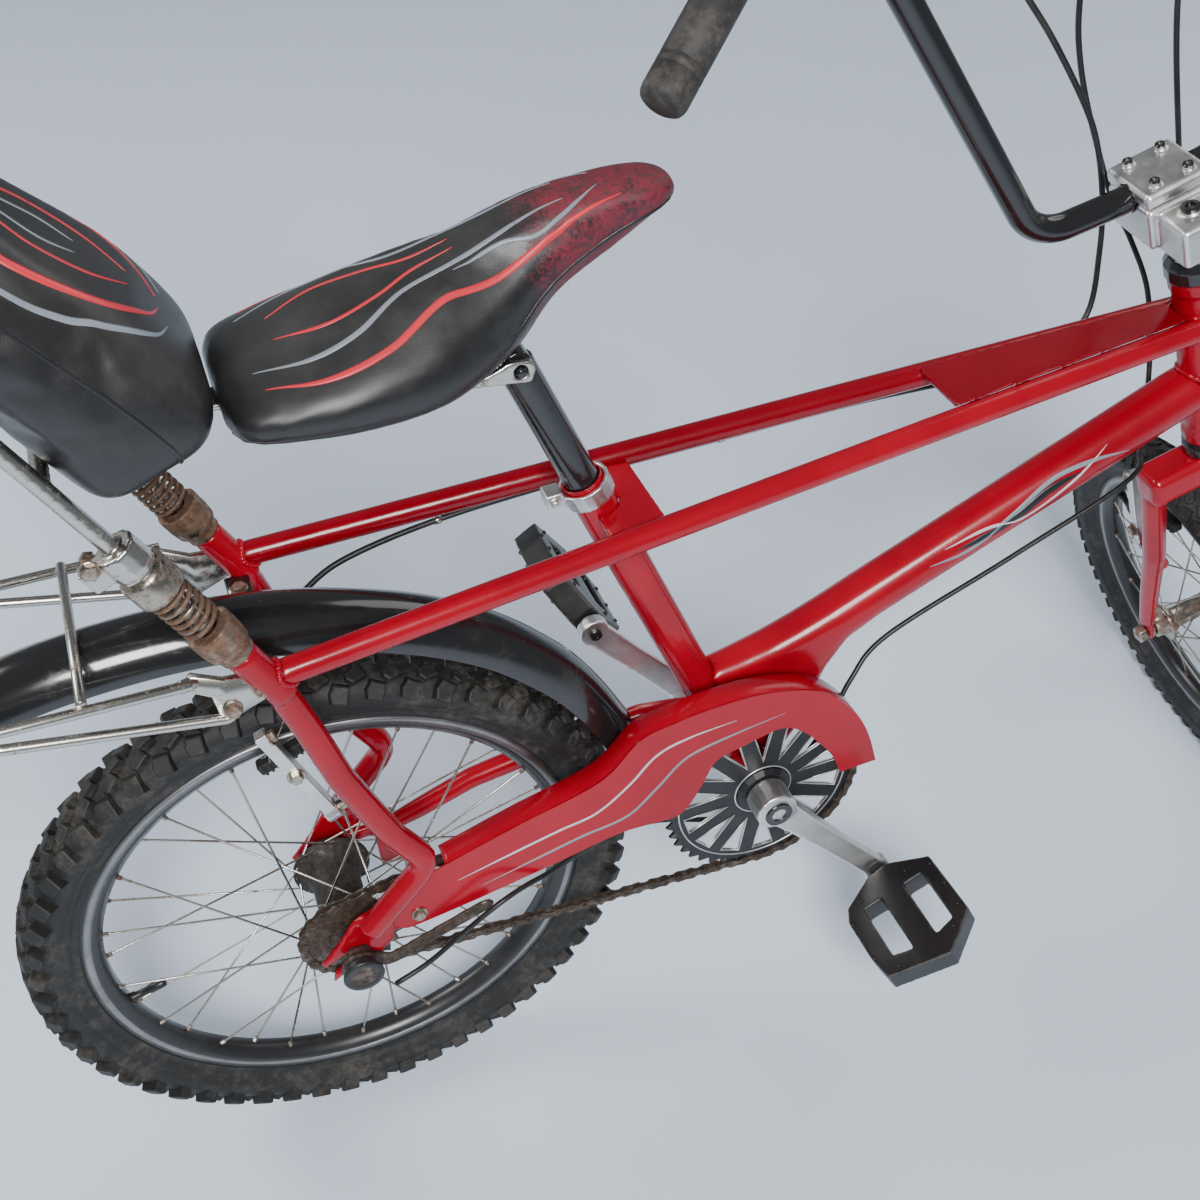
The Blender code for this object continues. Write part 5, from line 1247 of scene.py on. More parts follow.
# Nodes to soften, with their finish, voxel size in millimetres and smoothing passes.
SOFT_NODES = {"paintwork": (("head_tube", "red_paint", 1.4, 14), ("down_tube", "red_paint", 1.8, 30),
                            # The far top tube and the head gusset take the darker copy of the red: painted
                            # shade.
                            ("seat_tube", "red_paint", 0.8, 10), ("top_tube_left", "far_red", 1.4, 16),
                            ("top_tube_right", "red_paint", 1.4, 16), ("head_gusset", "far_red", 1.2, 8),
                            ("seat_bridge", "red_paint", 1.3, 10),
                            ("bottom_bracket_shell", "red_paint", 1.5, 10),
                            *both("chainstay", "red_paint", 1.4, 16), *both("stay", "red_paint", 1.5, 18),
                            ("fork", "red_paint", 1.5, 16)), "hardware": (("stem", "alloy", 1.1, 6),
                                                                          ("stem_cap", "alloy", 0.9, 6),
                                                                          ("seat_collar", "alloy", 0.9, 5),
                                                                          ("seat_post", "black_paint", 1.2,
                                                                           8),
                                                                          ("headset_upper", "black_paint",
                                                                           0.9, 6),
                                                                          ("headset_lower", "black_paint",
                                                                           0.9, 6),
                                                                          ("rear_axle", "greasy", 1.0, 4),
                                                                          ("front_axle", "brown_steel", 1.0,
                                                                           4),
                                                                          *both("spring_cup", "rusted", 0.9,
                                                                                6),
                                                                          ("sissy_bar", "plated", 1.15, 8),
                                                                          ("kickstand", "brown_steel", 1.3,
                                                                           8)),
              "brakes": (*both("rear_brake_arm", "alloy", 0.8, 6),
                         *both("front_brake_arm", "alloy", 0.8, 6),
                         *both("brake_lever", "dull_alloy", 0.85, 10),
                         *both("lever_bracket", "glossy_plastic", 0.8, 6)),
              "cranks": (*both("crank", "alloy", 1.2, 8), *both("pedal", "plastic", 1.1, 8)),}


WELD_RAYS = 96


def weld(name, start, way, radius, target):
    """Rippled weld where a round tube, drawn by a start and a way in millimetres, meets another piece."""
    tree = tree_of(bpy.data.objects[target])
    way = Vector(way).normalized()
    side = way.orthogonal().normalized()
    other = way.cross(side)
    world_way = BIKE.to_3x3() @ way
    ring = []
    for k in range(WELD_RAYS):
        turn = 2 * math.pi * k / WELD_RAYS
        origin = Vector(start) + (side * math.cos(turn) + other * math.sin(turn)) * (radius - 0.4)
        hit, _, _, _ = tree.ray_cast(BIKE @ (origin * MM), world_way, 0.3)
        ring.append(hit and (hit - world_way * (0.4 * MM), (2.3 + 0.4 * math.sin(k * math.pi / 2)) * MM))

    def misses(k):
        """How many rays in a row find nothing, from ray k on."""
        return next((d for d in range(WELD_RAYS) if ring[(k + d) % WELD_RAYS]), WELD_RAYS)

    gap = max(range(WELD_RAYS), key=misses)
    closed = not misses(gap)
    ring = [spot for spot in ring[gap:] + ring[:gap] if spot]
    if len(ring) < 40:
        raise RuntimeError(f"{name}: the tube meets {target} at {len(ring)} points only")
    count = len(ring)
    ease = []
    for i in range(count):
        near = [ring[(i + d) % count][0] for d in (-2, -1, 0, 1, 2) if closed or 0 <= i + d < count]
        ease.append(sum(near, Vector()) / len(near))
    points, faces = sweep(ease, [spot[1] for spot in ring], 8, closed)
    make_piece(name, points, faces, skin_of("red_paint"), "frame")


class BICYCLE_OT_paintwork(bpy.types.Operator):
    """Rounded, welded and painted tubes of the frame and the fork"""
    bl_idname = "bicycle.paintwork"
    bl_label = "Painted frame"

    def execute(self, context):
        for node, finish, voxel, passes in SOFT_NODES["paintwork"]:
            soften(node, skin_of(finish), voxel, passes)
        for side, word in SIDES:
            rear, head = Vector((0, side * 70, 317)), Vector((772, side * 18, 342))
            weld("weld_stay_" + word, rear.lerp(head, 0.09), rear - head, 10.0, f"stay_{word}_smooth")
            weld("weld_head_" + word, rear.lerp(head, 0.9), head - rear, 10.0, "head_tube_smooth")
        weld("weld_down_tube", (680, 0, 231), (0.929, 0, 0.369), 21.8, "head_tube_smooth")
        return {"FINISHED"}


class BICYCLE_OT_hardware(bpy.types.Operator):
    """Stem, posts, cups, axles, uprights and stand with worn edges, and their bolts"""
    bl_idname = "bicycle.hardware"
    bl_label = "Fittings"

    def execute(self, context):
        for node, finish, voxel, passes in SOFT_NODES["hardware"]:
            soften(node, skin_of(finish), voxel, passes)
        bolts = []
        for a in (-18.5, 18.5):
            for b in (-14, 14):
                bolts.append(hexagon_bolt((41 + a, b, 482), (41 + a, b, 484.2), 8.2))
        bolts.append(hexagon_bolt((0, 0, 461), (0, 0, 464.5), 15.0))
        dress("stem_bolts", FORK, join(bolts), "black_paint", "steering", smooth=False)
        cover = lathe([(0.01, -75.2), (13.9, -75.2), (14.6, -76.5), (16.9, -87.2), (16.2, -88.3),
                       (12, -88.6), (11, -88.0), (0.01, -87.9)], 40, across())
        bits = [hexagon_bolt((0, 63.6, 0), (0, 71.5, 0), 17, False, 12)]
        dress("axle_cover_skin", BIKE, cover, "plastic", "frame")
        dress("rear_axle_nut", BIKE, join(bits), "greasy", "frame", smooth=False)
        clamp = []
        for side in (1, -1):
            lug = spring_point(443, side, 20)
            clamp.append(hexagon_bolt(lug + Vector((0, side * 5.5, 0)), lug + Vector((0, side * 10.5, 0)),
                                      10, False, 7))
            clamp.append(hexagon_bolt(lug - Vector((0, side * 5.5, 0)), lug - Vector((0, side * 9, 0)), 9,
                                      False))
        collars = [lathe([(7, -0.2), (16.9, -0.2), (17.1, 1), (17.1, 17.5), (16.4, 19.4), (13.4, 22),
                          (7, 22)], 36, aim(spring_point(411.4, side), spring_point(456, side)), ring=True)
                   for side in (1, -1)]
        dress("upright_collars", BIKE, join(collars), "brown_steel", "seat")
        dress("upright_clamp_bolts", BIKE, join(clamp), "brown_steel", "seat", smooth=False)
        return {"FINISHED"}


class BICYCLE_OT_brakes(bpy.types.Operator):
    """Brake arms with their pads and cable bolts, and the levers with their brackets"""
    bl_idname = "bicycle.brakes"
    bl_label = "Brakes"

    def execute(self, context):
        for node, finish, voxel, passes in SOFT_NODES["brakes"]:
            soften(node, skin_of(finish), voxel, passes)
        for side, word in SIDES:
            for tag, matrix, pivot, turn, reach, pad_level, top, long in (
                    ("front", FORK, (54, side * 45, 69), 0.0, 30.4, 18.5, 92, 44),
                    ("rear", BIKE, (13, side * 42, 147), math.radians(-19.3), 27.4, 54.5, 103, 50)):
                local = matrix @ mm_matrix(Matrix.Translation(Vector(pivot)) @ Matrix.Rotation(turn, 4, "Y"))
                body = f"{tag}_brake_arm_{word}"
                pad = block((-long / 2 - 1, -side * reach if side > 0 else reach - 10.5, pad_level - 5),
                            (long / 2 + 1, -side * (reach - 10.5) if side > 0 else reach, pad_level + 5), 1.2)
                ridges = [block((x - 1.0, -side * reach + (10.2 if side > 0 else -11.4), pad_level - 5.3),
                                (x + 1.0, -side * reach + (11.4 if side > 0 else -10.2), pad_level + 5.3),
                                0.3) for x in range(-int(long / 2) + 3, int(long / 2) - 2, 5)]
                dress(f"{body}_pad", local, join([pad, *ridges]), "pad", body, smooth=False)
                bits = [hexagon_bolt((5, 0, 0), (12.5, 0, 0), 9, True, 8.5),
                        hexagon_bolt((0, side * 5.5, pad_level), (0, side * 11, pad_level), 9, False, 7),
                        hexagon_bolt((4, side * 2, top - 6), (9, side * 2, top - 6), 8, False, 6.5)]
                dress(f"{body}_bolts", local, join(bits), "brown_steel", body, smooth=False)
        return {"FINISHED"}


class BICYCLE_OT_rear_wheel(bpy.types.Operator):
    """Rear wheel: lugged tyre, rim, laced spokes and a wide rusty hub"""
    bl_idname = "bicycle.rear_wheel"
    bl_label = "Rear wheel"

    def execute(self, context):
        profile = [(6.2, -40), (17, -40), (18, -37), (24, -36), (32.5, -35.5), (33, -34.5), (33, -32),
                   (31, -31), (25, -27), (21.5, -22), (20.5, -10), (20.5, 10), (21.5, 22), (25, 27),
                   (31, 31), (33, 32), (33, 34.5), (32, 35.5), (22, 36), (20.5, 40), (20, 48), (19, 49),
                   (6.2, 49)]
        build_wheel("rear", BIKE, (0, 0, 0), tyre_radius=254.0, tyre_half=23.0, rim_radius=209.5,
                    lugs=sizes().rear_lugs, spoke_count=36, flange=30.0, half=32.5, lean=math.radians(62),
                    hub_profile=profile, phase=0.0)
        return {"FINISHED"}


class BICYCLE_OT_front_wheel(bpy.types.Operator):
    """Front wheel: low tread tyre, rim, laced spokes and a small hub"""
    bl_idname = "bicycle.front_wheel"
    bl_label = "Front wheel"

    def execute(self, context):
        profile = [(6.2, -46), (10.5, -46), (11, -45), (12, -37), (19.5, -35), (20, -34), (20, -31),
                   (19, -30), (14, -27), (11.5, -22), (11, -10), (11, 10), (11.5, 22), (14, 27), (19, 30),
                   (20, 31), (20, 34), (19.5, 35), (12, 37), (11, 45), (10.5, 46), (6.2, 46)]
        build_wheel("front", FORK, FRONT_AXLE, tyre_radius=200.0, tyre_half=24.5, rim_radius=159.0,
                    lugs=sizes().front_lugs, spoke_count=28, flange=17.0, half=32.0, lean=math.radians(58),
                    hub_profile=profile, phase=0.05)
        return {"FINISHED"}


class BICYCLE_OT_drive(bpy.types.Operator):
    """Chain of plates and pins, toothed rings, cranks and pedals"""
    bl_idname = "bicycle.drive"
    bl_label = "Drive"

    def execute(self, context):
        outer, inner = link_frames(sizes().link)
        repeat_piece("chain_outer_links", link_shape(2.1, 1.0, 3.9), outer, skin_of("greasy"), "frame", 0.0,
                     ("chain",))
        repeat_piece("chain_inner_links", link_shape(1.15, 0.9, 2.3), inner, skin_of("greasy"), "frame")
        for node, finish, voxel, passes in SOFT_NODES["cranks"]:
            soften(node, skin_of(finish), voxel, passes)
        ring_place = Matrix.Translation((BRACKET_X, CHAIN_LINE, BRACKET_RISE))
        teeth = []
        for k in range(RING_TEETH):
            turn = ring_place @ Matrix.Rotation(2 * math.pi * k / RING_TEETH + 0.02, 4, "Y")
            teeth.append(block((84.4, -1.25, -1.6), (90.4, 1.25, 1.6), 0.5, turn))
        dress("ring_teeth", BIKE, join(teeth), "greasy", "crankset", smooth=False)
        rims = []
        for k in range(14):
            turn = 2 * math.pi * (k + 0.5) / 14
            half_in, half_out = math.pi / 14 - 0.12, (math.pi / 14 - 0.06) * 0.8
            loop = []
            for radius, spread in ((34, 0.0), (60, half_in), (75, half_out), (75, -half_out), (60, -half_in)):
                loop.append((radius * math.cos(turn + spread), radius * math.sin(turn + spread)))
            turned_ring = ring_place @ Matrix.Rotation(-CRANK_RIGHT, 4, "Y")
            for level in (-1.0, 1.0):
                path = [turned_ring @ Vector((x, level, z)) for x, z in loop]
                rims.append(sweep(path, 0.75, 6, True))
        for radius in (79.5, 26.5):
            for level in (-1.0, 1.0):
                path = [Vector((BRACKET_X + radius * math.cos(t / 40 * math.pi), CHAIN_LINE + level,
                                BRACKET_RISE + radius * math.sin(t / 40 * math.pi))) for t in range(80)]
                rims.append(sweep(path, 0.8, 6, True))
        dress("ring_window_edges", BIKE, join(rims), "alloy", "crankset")
        caps = []
        for matrix_side, angle in ((-1, CRANK_RIGHT), (1, CRANK_LEFT)):
            at = Matrix.Translation((BRACKET_X, 0, BRACKET_RISE)) @ Matrix.Rotation(-angle, 4, "Y")
            start = at @ Vector((0, matrix_side * 74.5, 0))
            caps.append(hexagon_bolt(start, at @ Vector((0, matrix_side * 78.5, 0)), 25, True))
            eye = at @ Vector((CRANK_LENGTH, matrix_side * 61.5, 0))
            caps.append(hexagon_bolt(at @ Vector((CRANK_LENGTH, matrix_side * 74, 0)), at
                                     @ Vector((CRANK_LENGTH, matrix_side * 78, 0)), 15, False))
            caps.append(hexagon_bolt(eye, at @ Vector((CRANK_LENGTH, matrix_side * 59.5, 0)), 11, True))
        dress("crank_caps", BIKE, join(caps), "black_paint", "crankset", smooth=False)
        for side, word, angle, tilt in ((-1, "right", CRANK_RIGHT, math.radians(23)),
                                        (1, "left", CRANK_LEFT, math.radians(-60))):
            at = Matrix.Translation((BRACKET_X, 0, BRACKET_RISE)) @ Matrix.Rotation(-angle, 4, "Y")
            middle = at @ Vector((CRANK_LENGTH, 0, 0))
            turned = Matrix.Translation(middle) @ Matrix.Rotation(-tilt, 4, "Y")
            studs, barrel = [], lathe([(7.5, 100), (9.5, 101), (9.5, 176), (7.5, 178)], 20,
                                      turned @ (Matrix.Rotation(-math.pi / 2, 4, "X") if side > 0
                                                else Matrix.Rotation(math.pi / 2, 4, "X")), ring=True)
            for x, y in ((42, 104), (43, 128), (42, 152), (-46, 114), (-46, 134), (-46, 154), (28, 168),
                         (-32, 172), (20, 96), (-28, 98)):
                for face in (1, -1):
                    spot = turned @ Vector((x, side * y, 11.6 * face))
                    studs.append(lathe([(0.01, 0), (2.1, 0), (1.5, 2.0), (0.01, 2.2)], 8,
                                       aim(spot, turned @ Vector((x, side * y, 15 * face)))))
            dress(f"pedal_{word}_studs", BIKE, join([barrel, *studs]), "plastic", f"pedal_{word}")
        return {"FINISHED"}


# Both ends of the bar's last straight part and the side that its lever is on, in the fork's frame, in mm.
BAR_TOP = Vector((30.0, 205.0, 836.0))
BAR_END = Vector((-70.0, 363.2, 775.8))
LEVER_SIDE = Vector((0.732, 0.195, -0.653))


def mm_matrix(matrix):
    """The same turn, its shift taken from millimetres to metres."""
    matrix = matrix.copy()
    matrix.translation *= MM
    return matrix


def bar_matrix(distance, side):
    """Frame on the grip line in millimetres: X to the lever side, Z inward along the bar."""
    def point(along_by, out_by):
        along = (BAR_TOP - BAR_END).normalized()
        out = (LEVER_SIDE - LEVER_SIDE.dot(along) * along).normalized()
        p = BAR_END + along * along_by + out * out_by
        return Vector((p.x, side * p.y, p.z))

    origin = point(distance, 0)
    z_axis = (point(distance + 1, 0) - origin).normalized()
    x_axis = (point(distance, 1) - origin).normalized()
    return from_axes(x_axis, z_axis.cross(x_axis), z_axis, origin)


def from_fork(point):
    """A steering frame point, read in the bicycle's frame."""
    return (BIKE.inverted() @ (FORK @ (Vector(point) * MM))) / MM


# Outer face of the chain guard, in mm across the bicycle.
GUARD_OUTSIDE = -58.6


class BICYCLE_OT_guard(bpy.types.Operator):
    """Chain guard with its turned-in upper flange and its bolt"""
    bl_idname = "bicycle.guard"
    bl_label = "Chain guard"

    def execute(self, context):
        upper = [(38, 30), (50, 48), (70, 58), (110, 70), (150, 81), (220, 99), (256, 130), (285, 137),
                 (320, 140), (361, 138), (398, 128), (420, 116), (437, 98), (453, 74), (464, 46), (472, 12)]
        lower = [(437, 12), (430, 34), (418, 55), (400, 79), (380, 91), (345, 85), (321, 78), (307, 54),
                 (291, 31), (275, 27), (233, 30), (178, 21), (116, 11), (60, 4), (42, 4), (34, 14)]
        top = side_path(upper, 4)
        foot = side_path(lower, 4)
        face = slab([(p.x, p.z) for p in top + foot], GUARD_OUTSIDE, GUARD_OUTSIDE + 1.6)
        dress("guard_face", BIKE, face, "red_paint", "frame", ("chain_guard",), smooth=False)
        flange = ribbon([p for p in top if p.x > 84], (
            (0.0, -57.6), (0.0, -36.4), (0.4, -36.0), (1.3, -36.0), (1.7, -36.4), (1.7, -57.6), (0.9, -58.5)))
        dress("guard_flange", BIKE, flange, "red_paint", "frame")
        bolt = hexagon_bolt((56, GUARD_OUTSIDE, 16), (56, -63, 16), 9, False, 7)
        dress("guard_bolt", BIKE, bolt, "brown_steel", "frame", smooth=False)
        return {"FINISHED"}


class BICYCLE_OT_cockpit(bpy.types.Operator):
    """High handlebar with ribbed grips and the twist shifter"""
    bl_idname = "bicycle.cockpit"
    bl_label = "Handlebar"

    def execute(self, context):
        half = bend_path([Vector((41, 36, 465)), Vector((41, 107, 471)), BAR_TOP, BAR_END], 42, 14)
        whole = [Vector((p.x, -p.y, p.z)) for p in reversed(half)] + half
        dress("handlebar_tube", FORK, sweep(whole, 11.1, 28), "black_paint", "steering", ("handlebar",))
        for side, word in SIDES:
            length = 119.0 if side > 0 else 78.0
            profile = [(0.01, -3.5), (9, -3.5), (12, -3.1), (14, -1.8), (15.0, 0.6), (15.3, 3)]
            for z in (17.0, 23.5, length - 14.0):
                profile += [(15.3, z), (14.4, z + 0.7), (14.4, z + 1.9), (15.3, z + 2.6)]
            profile += [(15.3, length - 5.5), (16.6, length - 4.5), (17.0, length - 3.5),
                        (17.0, length - 0.8), (16.4, length), (11.2, length)]
            dress("grip_skin_" + word, FORK, lathe(profile, 44, bar_matrix(0, side)), "grip", "steering",
                  ("grip_" + word,))
        profile = [(11.4, 79.3)]
        for k in range(9):
            z = 80.5 + k * 3.0
            profile += [(17.2, z), (18.0, z + 0.6), (18.0, z + 1.8), (17.2, z + 2.4)]
        profile += [(17.0, 108), (16.5, 109.5), (16.5, 118.2), (15.8, 119), (11.4, 119)]
        dress("shifter_skin", FORK, lathe(profile, 48, bar_matrix(0, -1), ring=True), "glossy_plastic",
              "twist_shifter", ("twist_shifter",))
        for side in (1, -1):
            at = bar_matrix(132, side)
            bits = join([hexagon_bolt(at @ Vector((-11, 0, 0)), at @ Vector((-19, 0, 0)), 8, True),
                         hexagon_bolt(at @ Vector((30, 8.6, 0)), at @ Vector((30, 11, 0)), 7, False),
                         hexagon_bolt(at @ Vector((30, -8.6, 0)), at @ Vector((30, -11, 0)), 7, True)])
            dress(f"lever_pins_{'left' if side > 0 else 'right'}", FORK, bits, "brown_steel", "steering",
                  smooth=False)
        return {"FINISHED"}


def seam(name, target, matrix, spots, radius, material, body):
    """Round piping that follows a cushion through the given directions."""
    tree = tree_of(target)
    turned, path = matrix.to_3x3(), []
    for inside, outward in spots:
        way = (turned @ Vector(outward)).normalized()
        hit, normal, _, _ = tree.ray_cast(matrix @ (Vector(inside) * MM) + way * 0.3, -way)
        if hit is not None:
            path.append(hit - normal * (radius * 0.35 * MM))
    if len(path) < 4:
        return None
    points, faces = sweep(path, radius * MM, 8)
    return make_piece(name, points, faces, material, body)


class BICYCLE_OT_cushions(bpy.types.Operator):
    """Saddle and backrest, swollen as stuffed covers, with piping"""
    bl_idname = "bicycle.cushions"
    bl_label = "Seat cushions"

    def execute(self, context):
        swell = sizes().swell
        saddle = cushion("saddle_cushion", saddle_sections(), 2.3, 2.5, skin_of("saddle_vinyl"),
                         ("saddle",), swell)
        back = cushion("backrest_cushion", backrest_sections(), 4.2, 3.0, skin_of("vinyl"), ("backrest",),
                       swell)
        inverse = BIKE.inverted()
        mark = saddle.data.attributes.new("nose", "FLOAT", "POINT")
        values = []
        for vertex in saddle.data.vertices:
            x = (inverse @ vertex.co).x / MM
            t = min(1.0, max(0.0, (x - 192) / 62))
            values.append(t * t * (3 - 2 * t))
        mark.data.foreach_set("value", values)
        rim = []
        stations = finer(saddle_sections(), 3)
        for side, run in ((1, stations[2:-1]), (-1, stations[-2:1:-1])):
            for middle, _, _, _, half_height in run:
                rim.append((middle + Vector((0, 0, -half_height * 0.35)), (0, side, -0.1)))
        seam("saddle_piping", saddle, BIKE, rim, 1.9, skin_of("vinyl"), "seat")
        stations = finer(backrest_sections(), 3)
        edge = []
        for side, run in ((1, stations[3:-2]), (-1, stations[-3:2:-1])):
            for middle, _, deep, _, half_depth in run:
                edge.append((middle - deep * half_depth * 0.3, (0, side, 0)))
        seam("backrest_piping", back, BIKE, edge, 1.8, skin_of("vinyl"), "seat")
        return {"FINISHED"}


class BICYCLE_OT_springs(bpy.types.Operator):
    """Round wire springs under the seat"""
    bl_idname = "bicycle.springs"
    bl_label = "Seat springs"

    def execute(self, context):
        for side, word in SIDES:
            start, end = spring_point(373.3, side), spring_point(411, side)
            at, length = aim(start, end), (end - start).length
            coils, steps, radius, end_room = 6, 28, 12.7, 3.0
            path = []
            for i in range(coils * steps + 1):
                turn = 2 * math.pi * i / steps
                path.append(at @ Vector((radius * math.cos(turn), radius * math.sin(turn),
                                         end_room + (length - 2 * end_room) * i / (coils * steps))))
            piece = dress(f"spring_coil_{word}", BIKE, sweep(path, 1.7, 10), "rusted")
            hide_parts(f"spring_{word}")
            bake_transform(piece)
        return {"FINISHED"}


class BICYCLE_OT_carrier(bpy.types.Operator):
    """Rear mudguard, wire rack and their bolts"""
    bl_idname = "bicycle.carrier"
    bl_label = "Mudguard and rack"

    def execute(self, context):
        edge = [(242, 94), (226, 130), (211, 158), (193, 184), (156, 224), (110, 257), (60, 281), (9, 298),
                (-45, 308), (-100, 311), (-160, 307), (-220, 292), (-275, 265), (-318, 226)]
        path = side_path(edge, 9)
        outside, inside = 28.5, 26.6
        outer = [(outside * math.cos(math.pi * k / 18), outside * math.sin(math.pi * k / 18))
                 for k in range(19)]
        profile = [(outside, -1.6), *outer, (-outside, -1.6), (-27.6, -2.2), (-inside, -1.4)]
        profile += [(-inside * math.cos(math.pi * k / 18), inside * math.sin(math.pi * k / 18))
                    for k in range(19)]
        profile += [(inside, -1.4), (27.6, -2.2)]
        shell = ribbon(path, [(r, y) for y, r in profile])
        dress("mudguard_shell", BIKE, shell, "muddy_black", "frame", ("rear_mudguard",))
        tabs = [block((-14, min(side * 24, side * 61), 304), (4, max(side * 24, side * 61), 307.5), 0.8)
                for side in (1, -1)]
        dress("mudguard_tabs", BIKE, join(tabs), "muddy_black", "frame")
        hoop = [Vector((-50, 78, 337)), Vector((-318, 75, 351)), Vector((-318, -75, 351)),
                Vector((-50, -78, 337))]
        wires = [sweep(bend_path(hoop, 30, 10), 3.8, 14)]
        for side in (1, -1):
            lower = mirrored([Vector((-29, 71, 300)), Vector((-34, 73, 295)), Vector((-172, 77, 329)),
                              Vector((-262, 76, 346.5))], side)
            wires.append(sweep(bend_path(lower, 12, 6), 3.8, 14))
            lug = [(-50, 340), (-31, 329), (-8, 326), (0, 306), (-34, 293), (-40, 300), (-42, 318),
                   (-58, 331)]
            wires.append(slab(lug, min(side * 68, side * 74), max(side * 68, side * 74), 1.2))
            wires.append(sweep(mirrored([Vector((-48, 71, 333)), Vector((-58, 77.8, 337))], side), 4.6, 12))
        for x, z in ((-118, 345.5), (-232, 351)):
            wires.append(sweep([Vector((x, -77, z)), Vector((x, 77, z))], 3.6, 14))
        dress("rack_wires", BIKE, join(wires), "plated", "frame", ("rack",))
        bolts = []
        for side in (1, -1):
            for x, z in ((-9, 314), (-31, 303)):
                bolts.append(hexagon_bolt((x, side * 73.8, z), (x, side * 79, z), 10, False, 7))
            bolts.append(hexagon_bolt((-5, side * 44, 307.2), (-5, side * 44, 311), 9, False, 6.5))
        dress("rack_bolts", BIKE, join(bolts), "brown_steel", "frame", smooth=False)
        return {"FINISHED"}


class BICYCLE_OT_cables(bpy.types.Operator):
    """Brake and gear cables, a ferrule, clips and frayed wires"""
    bl_idname = "bicycle.cables"
    bl_label = "Cables"

    def execute(self, context):
        left, right = bar_matrix(132, 1), bar_matrix(132, -1)
        rear = [from_fork(left @ Vector((19, 0, 20.6))), from_fork(left @ Vector((23, 0, 44))),
                *map(Vector, ((462, 62, 722), (530, 70, 694), (592, 73, 648), (632, 72, 597), (658, 70, 561),
                              (690, 66, 508), (705, 64, 473), (715, 62, 430), (717, 58, 388), (707, 48, 338),
                              (672, 42, 318), (600, 43, 312), (500, 50, 313), (380, 56, 311), (260, 61, 309),
                              (150, 62, 305), (70, 54, 298), (26, 40, 284), (-14, 44, 268)))]
        gear = [from_fork(right @ Vector((-17, 0, 20.6))), from_fork(right @ Vector((-21, 0, 46))),
                *map(Vector, ((800, 44, 872), (740, 80, 830), (704, 90, 740), (688, 90, 650),
                              (686, 86, 582), (691, 84, 542), (705, 80, 494), (736, 76, 419),
                              (756, 70, 382), (774, 59, 334), (776, 42, 270), (756, 12, 214),
                              (728, -14, 203), (621, -15, 159), (502, -15, 113), (462, -26, 86),
                              (438, -36, 56), (412, -38, 22), (380, -37, -22), (330, -34, -24),
                              (275, -38, 4), (232, -45, 17), (195, -52, 14), (168, -59, 12), (144, -68, 17),
                              (118, -76, 16), (84, -77, -4), (52, -78, -24), (22, -80.5, -33)))]
        front = [right @ Vector((19, 0, 20.6)), right @ Vector((22, 0, 50)),
                 *map(Vector, ((62, -158, 800), (90, -92, 700), (97, -62, 580), (95, -50, 440),
                               (91, -44, 320), (84, -36, 230), (76, -32, 178), (64, -38, 164)))]
        for name, route, radius, matrix, until in (("rear_brake_cable", rear, 2.4, BIKE, 11),
                                                   ("gear_cable", gear, 2.3, BIKE, 12),
                                                   ("front_brake_cable", front, 2.4, FORK, 0)):
            path = smooth_path(route, 7)
            piece = dress(name + "_casing", matrix, sweep(path, radius, 14), "casing")
            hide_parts(name)
            world = points_in(matrix, path)
            length = sum((b - a).length for a, b in zip(world, world[1:]))
            if until:
                lower = (matrix @ (route[until] * MM)).z
                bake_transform(piece)
            else:
                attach(piece, "steering")
            2 * radius * MM
        clips = []
        for x, z in ((600, 312), (380, 311), (150, 305)):
            spot = min(smooth_path(rear, 4), key=lambda p: (p - Vector((x, p.y, z))).length)
            ring = Matrix.Translation(spot) @ Matrix.Rotation(math.pi / 2, 4, "Y")
            clips.append(lathe([(2.5, -3), (3.5, -2.8), (3.5, 2.8), (2.5, 3)], 16, ring, ring=True))
        dress("cable_clips", BIKE, join(clips), "plated", "frame")
        tip = lathe([(0.01, 0), (3.1, 0), (3.1, 9), (2.0, 10), (0.01, 10)], 14, route_end(rear))
        dress("cable_ferrules", BIKE, tip, "dull_alloy", "frame")
        for start, swing, word in (((0, 34, 262), 1, "left"), ((2, -36, 258), -1, "right")):
            strands = []
            for k in range(4):
                p = Vector(start)
                strands.append([BIKE @ (q * MM) for q in smooth_path(
                    [p, p + Vector((-6, swing * 4, -14)), p + Vector((-14 - 3 * k, swing * (2 + 2 * k), -34)),
                     p + Vector((-10 - 6 * k, swing * (8 - 3 * k), -58 + 5 * k))], 6)])
            thread_piece("wire_strands_" + word, strands, 0.35 * MM, skin_of("spoke_steel"),
                         "rear_brake_arm_" + word, 5)
        return {"FINISHED"}


def route_end(route):
    """Frame at the far end of a cable."""
    path = smooth_path(route, 7)
    return aim(path[-1], path[-1] + (path[-1] - path[-3]))


# Both ends of the part of the down tube that carries lines, in mm.
DOWN_TUBE = (Vector((745.0, 0.0, 257.0)), Vector((500.0, 0.0, 159.0)))


